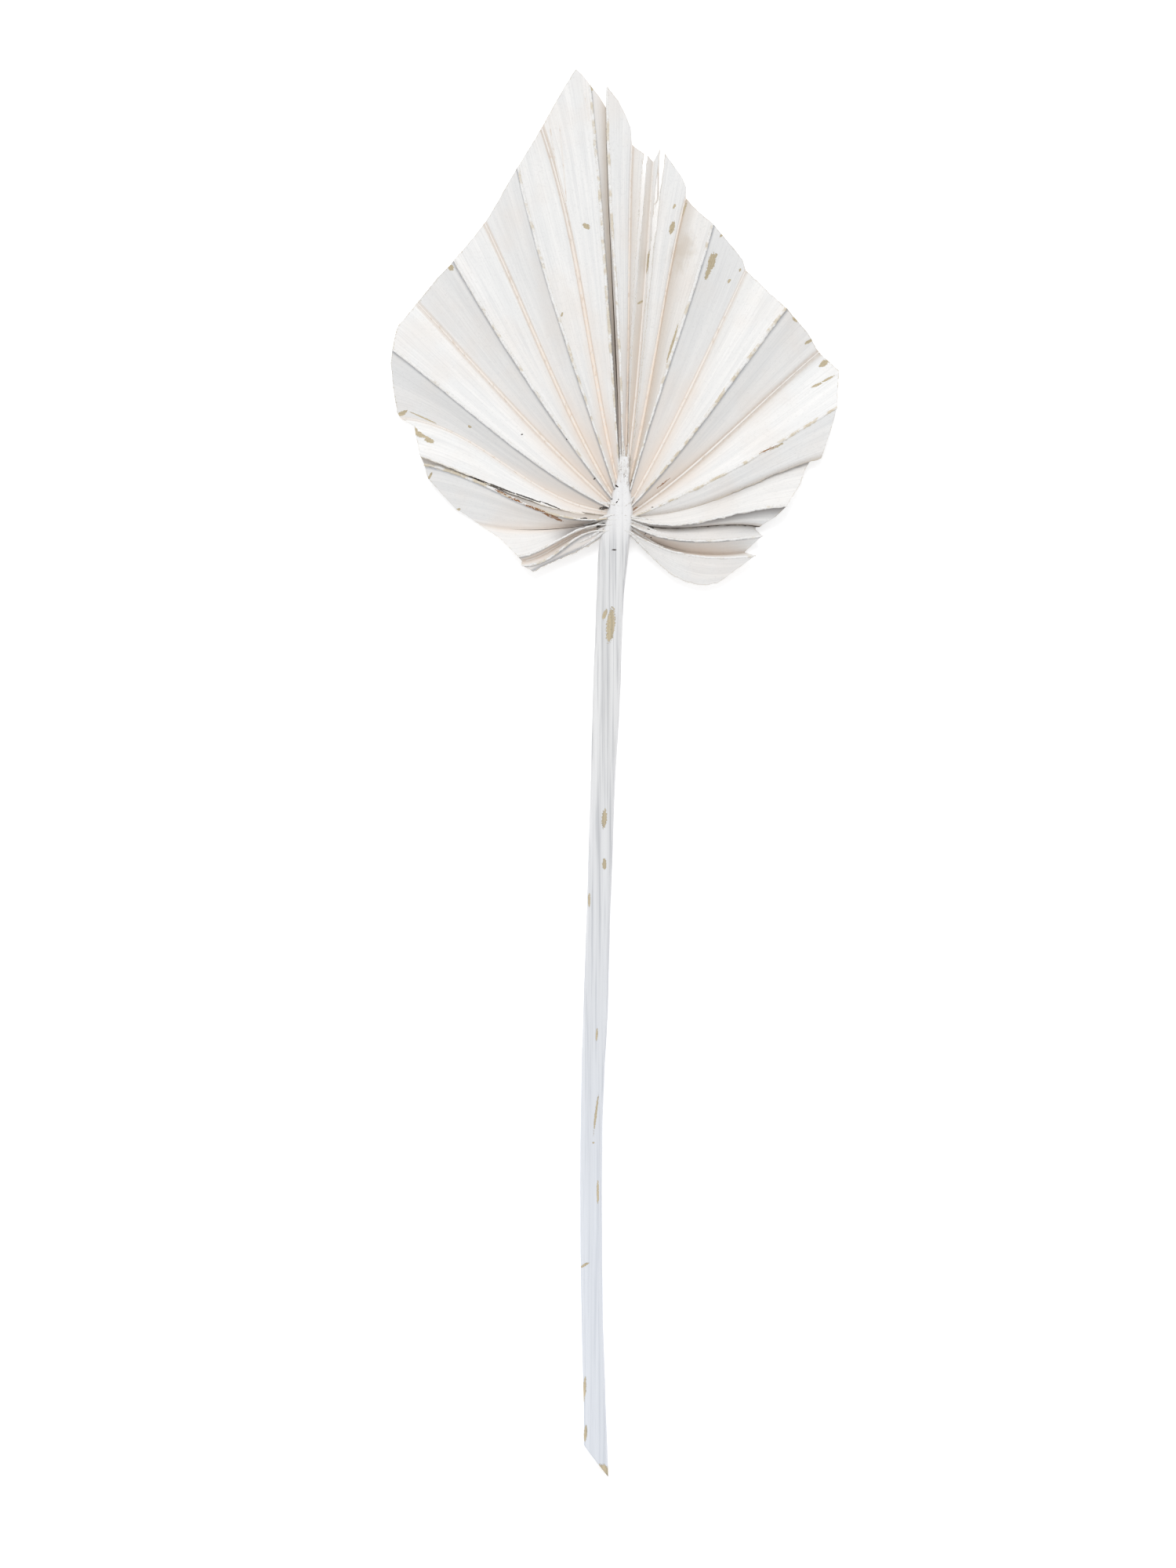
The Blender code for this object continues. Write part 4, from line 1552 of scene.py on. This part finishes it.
class BladeFinish(Finish):
    """The blade: veined paint, worn seams, browning in the slits, shade painted into the slits and beside
    crests and midribs, chips and a dirty patch.
    """

    def make(self) -> bpy.types.Material:
        """Return the material."""
        veins = self.pleat_map()
        fine = self.noise(self.stretch(veins, (1.5, 0.035, 1.0)), 1.0, 3.0, 0.6)
        broad = self.noise(self.stretch(veins, (0.24, 0.016, 1.0)), 1.0, 2.0)
        grain = self.noise(self.spot, 2600.0, 3.0, 0.6)
        blotch = self.noise(self.spot, 38.0, 3.0, 0.55)
        furrow, torn, lee = self.attribute("furrow"), self.attribute("torn"), self.attribute("lee")
        seam = self.attribute("crest").least(torn)
        reach = Value(self, self.node("ShaderNodeSeparateXYZ", {}, veins).outputs[1])
        uneven = self.noise(self.stretch(veins, (0.9, 0.55, 1.0)), 1.0, 3.0, 0.7)
        colour = self.mix(broad.step(0.35, 0.65), PALETTE.chalk, PALETTE.chalk_shade)
        colour = self.mix(fine.step(0.44, 0.72) * 0.45, colour, PALETTE.vein)
        mottle = self.noise(self.spot, 950.0, 3.0, 0.75)
        colour = self.mix(mottle.step(0.52, 0.7) * 0.45, colour, PALETTE.mottle)
        # Painted shade: faces on the shaded side of each pleat are mixed a quarter of the way to grey.
        colour = self.mix(lee * 0.25, colour, PALETTE.painted_face_shade)
        # Warmer near the throat, the leaf's own tint; the extra warmth on the shaded faces is painted
        # shade.
        near = reach.step(58.0, 4.0) * (0.2 + lee * 0.4)
        warm = blotch.step(0.45, 0.7) * 0.3 + near + reach.step(95.0, 20.0) * furrow.step(7.0, 0.0) * 0.7
        colour = self.mix(warm.least(1.0), colour, PALETTE.warm)
        colour = self.mix(self.stained(), colour, PALETTE.damp)
        fading = furrow.step(9.0, 1.0) * 0.6 + reach.step(185.0, 60.0) * 0.4
        colour = self.mix(fading * self.attribute("tan"), colour, PALETTE.dry_face)
        # Painted shadow: a grey-blue band beside each crest, on its shaded side.
        shade = seam.step(2.0, 0.6) * lee * (0.3 + uneven * 0.9)
        colour = self.mix(shade.least(0.9), colour, PALETTE.lip_shade)
        dirt = self.attribute("dirt")
        # Painted shade with the tan of bare leaf: a line beside each midrib, down in its furrow.
        groove_shade = furrow.step(1.8, 0.8) * (self.attribute("cream") * 0.6 + dirt * 0.6) * (0.3 + uneven * 1.2)
        colour = self.mix(groove_shade.least(0.85), colour, PALETTE.groove_shade)
        slit = furrow.least(torn)
        # Browner within a few millimetres of a brown furrow or torn edge.
        brown = slit.step(3.4, 0.4) * dirt * (0.25 + uneven * 0.5)
        colour = self.mix(brown.least(0.8), colour, PALETTE.brown)
        # Painted shadow: the faces given a shadow in the fold table turn grey, most near the fold before
        # them.
        colour = self.mix(self.attribute("shadow"), colour, PALETTE.painted_shadow)
        wear = self.attribute("wear")
        worn = (seam + (uneven - 0.5) * 2.4).step(0.6, 0.25) * seam.step(1.4, 0.5) * wear
        colour = self.mix(worn.least(1.0) * 0.45, colour, PALETTE.straw)
        flecks = self.noise(self.spot, 2100.0, 2.0, 0.6)
        speck = flecks.step(0.6, 0.67) * seam.step(1.5, 0.35) * (0.2 + wear * 0.35)
        colour = self.mix(speck.least(1.0), colour, PALETTE.speck)
        rim = (self.attribute("margin") + (flecks - 0.5) * 2.6).step(0.46, 0.2) * uneven.step(0.42, 0.56)
        colour = self.mix(rim * 0.5, colour, PALETTE.bare)
        chips = self.chipped(BLADE_CHIPS)
        colour = self.mix(chips, colour, self.bare_leaf(fine))
        colour = self.mix(self.chipped(BLADE_RUST) * uneven.step(0.38, 0.5), colour, PALETTE.rust)
        # Painted shade: near black in the slots, along the brownest torn edges and in the pits about the
        # throat.
        soil = (self.attribute("slot") + (uneven - 0.5) * 0.3).step(0.12, -0.06)
        soil = soil.most(torn.step(1.0, 0.3) * dirt.step(0.85, 0.95))
        colour = self.mix(soil.most(self.chipped(BLADE_PITS)) * 0.9, colour, PALETTE.slot_and_pit_shade)

        relief = fine * 0.6 + broad * 0.4 - chips * 0.5
        normal = self.bump(relief, 0.5, 0.3 * MM)
        normal = self.bump(grain, 0.3, 0.08 * MM, normal)
        return self.finish(colour, 0.56 + chips * 0.2 + (grain - 0.5) * 0.15, normal)

    def stained(self) -> Value:
        """Return where old damp has left a faint brown patch."""
        away = self.away_from(STAIN) + (self.noise(self.spot, 240.0, 3.0) - 0.5) * 1.8
        return away.step(1.25, 0.2) * 0.5


class StalkFinish(Finish):
    """The stalk: white paint with long grey streaks, a painted cool cast towards its foot, chips and a
    brown cut end.
    """

    def make(self) -> bpy.types.Material:
        """Return the material."""
        streak = self.noise(self.stretch(self.spot, (1100.0, 16.0, 700.0)), 1.0, 3.0, 0.6)
        wide = self.noise(self.stretch(self.spot, (330.0, 5.0, 260.0)), 1.0, 2.0)
        grain = self.noise(self.spot, 2400.0, 3.0, 0.6)
        along = Value(self, self.node("ShaderNodeSeparateXYZ", {}, self.spot).outputs[1]) / MM
        # A painted cool cast: the stalk turns bluer towards its cut end.
        foot = (along - float(self.throat[1]) / MM).step(-60.0, -300.0)
        colour = self.mix(wide.step(0.35, 0.65), PALETTE.stalk_light, PALETTE.stalk_dark)
        colour = self.mix(streak.step(0.44, 0.68) * 0.85, colour, PALETTE.stalk_streak)
        colour = self.mix(foot * 0.6, colour, PALETTE.painted_cool_cast)
        hub = (along - float(self.throat[1]) / MM).step(-16.0, -1.0)
        colour = self.mix(hub * 0.75, colour, PALETTE.stalk_head)
        chips = self.chipped(STALK_CHIPS)
        colour = self.mix(chips, colour, self.bare_leaf(streak))
        colour = self.mix(self.chipped(STALK_PITS), colour, PALETTE.stalk_pit)
        normal = self.bump(streak * 0.7 + wide * 0.3 - chips * 0.6, 0.6, 0.35 * MM)
        normal = self.bump(grain, 0.3, 0.1 * MM, normal)
        return self.finish(colour, 0.5 + chips * 0.25 + (grain - 0.5) * 0.15, normal)


class MidribFinish(Finish):
    """Midribs in the furrows: smooth, cream near the throat and painted further out."""

    def make(self) -> bpy.types.Material:
        """Return the material."""
        fine = self.noise(self.stretch(self.spot, (700.0, 350.0, 700.0)), 1.0, 3.0)
        away = self.value("ShaderNodeVectorMath", {"operation": "SUBTRACT"}, self.spot, tuple(self.throat))
        measure = self.node("ShaderNodeVectorMath", {"operation": "LENGTH"}, away)
        reach = Value(self, measure.outputs["Value"]) / MM
        bare = (reach + (fine - 0.5) * 60.0).step(190.0, 50.0) * (0.2 + self.attribute("bare") * 0.8)
        streak = self.noise(self.spot, 520.0, 3.0, 0.7)
        colour = self.mix(bare, PALETTE.rib_paint, PALETTE.rib_bare)
        colour = self.mix(streak.step(0.5, 0.62) * 0.5, colour, PALETTE.rib_chalk)
        colour = self.mix(fine.step(0.55, 0.7) * 0.5, colour, PALETTE.rib_tan)
        return self.finish(colour, 0.5, self.bump(fine, 0.3, 0.1 * MM))


class SeamFinish(Finish):
    """Scurf along the seams: flaking white paint over straw, with dark specks."""

    def make(self) -> bpy.types.Material:
        """Return the material."""
        patch = self.noise(self.spot, 210.0, 3.0, 0.6)
        flecks = self.noise(self.spot, 1700.0, 3.0, 0.65)
        worn = patch + (self.attribute("bare") - 0.6) * 0.26
        share = worn.step(0.5, 0.68) * (self.attribute("bare") * 0.5 + 0.35)
        colour = self.mix(share, PALETTE.scurf_paint, PALETTE.scurf_straw)
        colour = self.mix(flecks.step(0.57, 0.64) * 0.35, colour, PALETTE.scurf_grey)
        colour = self.mix(flecks.step(0.36, 0.3) * 0.55, colour, PALETTE.scurf_speck)
        colour = self.mix(self.chipped(BLADE_RUST) * flecks.step(0.36, 0.5), colour, PALETTE.rust)
        return self.finish(colour, 0.7, self.bump(flecks, 0.5, 0.2 * MM))


class FibreFinish(Finish):
    """Frayed fibres: cream to straw, some still white with paint."""

    def make(self) -> bpy.types.Material:
        """Return the material."""
        patch = self.noise(self.spot, 260.0, 2.0)
        fine = self.noise(self.spot, 2600.0, 2.0)
        colour = self.mix(patch.step(0.42, 0.6), PALETTE.fibre, PALETTE.straw)
        return self.finish(self.mix(fine.step(0.4, 0.7) * 0.5, colour, PALETTE.bare), 0.7)


class CrumbFinish(Finish):
    """Lumpy dried paint, for the strands and crumbs about the throat."""

    def make(self) -> bpy.types.Material:
        """Return the material."""
        patch = self.noise(self.spot, 700.0, 3.0, 0.6)
        flecks = self.noise(self.spot, 1900.0, 2.0)
        colour = self.mix(patch.step(0.45, 0.7) * 0.7, PALETTE.crumb_light, PALETTE.crumb_dark)
        colour = self.mix(flecks.step(0.62, 0.68) * 0.6, colour, PALETTE.crumb_speck)
        return self.finish(colour, 0.6, self.bump(flecks, 0.4, 0.2 * MM))


# --------------------------------------------------------------------------- the studio


@dataclass(frozen=True)
class Studio:
    """A pale floor, soft light from the tip's side and a camera straight above the leaf."""

    frame_height: float = 0.6
    camera_distance: float = 2.6
    sensor: float = 36.0
    view_shift: tuple = (-0.01035, -0.00405)
    sky: float = 0.76
    key_power: float = 1.07
    key_height: float = 52.0  # degrees above the table
    key_softness: float = 34.0
    floor_half: float = 3.0
    floor_glow: float = 0.30

    def world(self) -> None:
        """Light the scene from all round with an even white."""
        world = bpy.data.worlds.new("soft white room")
        world.use_nodes = True
        background = world.node_tree.nodes["Background"]
        background.inputs["Color"].default_value = (0.985, 0.99, 1.0, 1.0)
        background.inputs["Strength"].default_value = self.sky
        bpy.context.scene.world = world
        bpy.context.scene.view_settings.view_transform = "Standard"

    def key(self) -> None:
        """Add a wide soft light that comes from beyond the tip of the blade."""
        light = bpy.data.lights.new("window", "SUN")
        light.energy = self.key_power
        light.angle = math.radians(self.key_softness)
        lamp = show("window", light)
        slope = math.radians(self.key_height)
        towards = Vector((0.10, -math.cos(slope), -math.sin(slope)))
        lamp.rotation_euler = towards.to_track_quat("-Z", "Y").to_euler()

    def floor(self) -> None:
        """Lay a plain pale floor under the leaf."""
        mesh = bpy.data.meshes.new("floor")
        half = self.floor_half
        corners = [(-half, -half, 0.0), (half, -half, 0.0), (half, half, 0.0), (-half, half, 0.0)]
        mesh.from_pydata(corners, [], [(0, 1, 2, 3)])
        recipe = Recipe("pale floor")
        recipe.shader.inputs["Emission Color"].default_value = (1.0, 1.0, 1.0, 1.0)
        recipe.shader.inputs["Emission Strength"].default_value = self.floor_glow
        mesh.materials.append(recipe.finish(PALETTE.floor, 0.9))
        show("floor", mesh)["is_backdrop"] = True

    def camera(self, low: Vector, high: Vector) -> None:
        """Look straight down on the leaf, with its tip at the top of the frame.

        Args:
            low: the lowest corner of the leaf's box.
            high: its highest corner.
        """
        camera = bpy.data.cameras.new("camera")
        camera.sensor_width = self.sensor
        camera.lens = self.sensor * self.camera_distance / self.frame_height
        seat = show("camera", camera)
        middle = 0.5 * (low + high)
        seat.location = middle + Vector((*self.view_shift, self.camera_distance))
        camera.clip_end = 20.0
        bpy.context.scene.camera = seat


def claim(piece: bpy.types.Object, replaces: bool = False) -> None:
    """Say which body a piece rides on, and what it stands for.

    Args:
        piece: the piece.
        replaces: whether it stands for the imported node.
    """
    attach(piece, BODY)
    if replaces:
        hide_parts(NODE)
    LOG.info("%s: %d faces", piece.name, len(piece.data.polygons))


def main() -> None:
    """Build the leaf's pieces in order, then the studio."""
    logging.basicConfig(level=logging.INFO, format="%(message)s")
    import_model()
    low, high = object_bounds()
    throat = np.array((low.x + LEFT_REACH * MM, high.y - TIP_REACH * MM, 0.0))
    blade_paint = BladeFinish("painted blade", throat).make()
    lobes = (Lobe("lobe_lower_left", LOWER_LEFT, 3), Lobe("lobe_left", LEFT, 7),
             Lobe("lobe_middle", MIDDLE, 11), Lobe("lobe_right", RIGHT, 17),
             Lobe("lobe_lower_right", LOWER_RIGHT, 23), Lobe("lobe_foot", FOOT, 29))
    pieces = []
    for lobe in lobes:
        pieces.append(lobe.build(throat))
        pieces[-1].data.materials.append(blade_paint)
        claim(pieces[-1], replaces=lobe.name == "lobe_left")
    stalk = Stalk().build(throat)
    flutes = flute_tool(StalkFinish("painted stalk", throat).make())
    pieces.append(flutes.run(stalk, "stalk_and_throat", Rough_From=float(throat[1]) - 8.0 * MM))
    claim(pieces[-1])
    skin = Skin(pieces, throat)
    midribs = rib_tool(MidribFinish("bare midribs", throat).make())
    guides = [guide for lobe in lobes for guide in lobe.midribs]
    guides += [skin.lay(crease, (0.2, 0.28, 0.2)) for crease in CREASES]
    claim(midribs.run(guide_object("midrib lines", guides, throat), "midribs",
                      Roughness=0.14 * MM, Seed=3))
    strands = rib_tool(CrumbFinish("painted strands", throat).make())
    guides = [skin.lay(strand, (0.15, 0.75, 0.15), -0.4) for strand in STRANDS]
    claim(strands.run(guide_object("strand lines", guides, throat), "shoulder_strands", Pitch=0.5 * MM,
                      Roughness=0.9 * MM, Grain=1.4 * MM, Seed=8))
    seams = rib_tool(SeamFinish("seam scurf", throat).make())
    guides = [guide for lobe in lobes for guide in lobe.seams]
    claim(seams.run(guide_object("seam lines", guides, throat), "seam_scurf", Pitch=0.4 * MM,
                    Roughness=0.8 * MM, Grain=1.0 * MM, Seed=5))
    frays = fibre_tool(FibreFinish("frayed fibres", throat).make())
    guides = [guide for lobe in lobes for guide in lobe.seams + lobe.torn]
    claim(frays.run(guide_object("fray lines", guides, throat), "frayed_fibres", Pitch=1.3 * MM,
                    Length=1.6 * MM, Girth=0.08 * MM, Spread=0.5, Seed=9))
    crumbs = crumb_tool(CrumbFinish("paint crumbs", throat).make())
    claim(crumbs.run(skin.patch("hub sheet", ((-9.0, -9.0), (15.0, 12.0))), "paint_crumbs",
                     Density=8.0e5, Radius=0.13 * MM, Seed=4))
    studio = Studio()
    studio.world()
    studio.key()
    studio.floor()
    studio.camera(low, high)


if __name__ == "__main__":
    main()
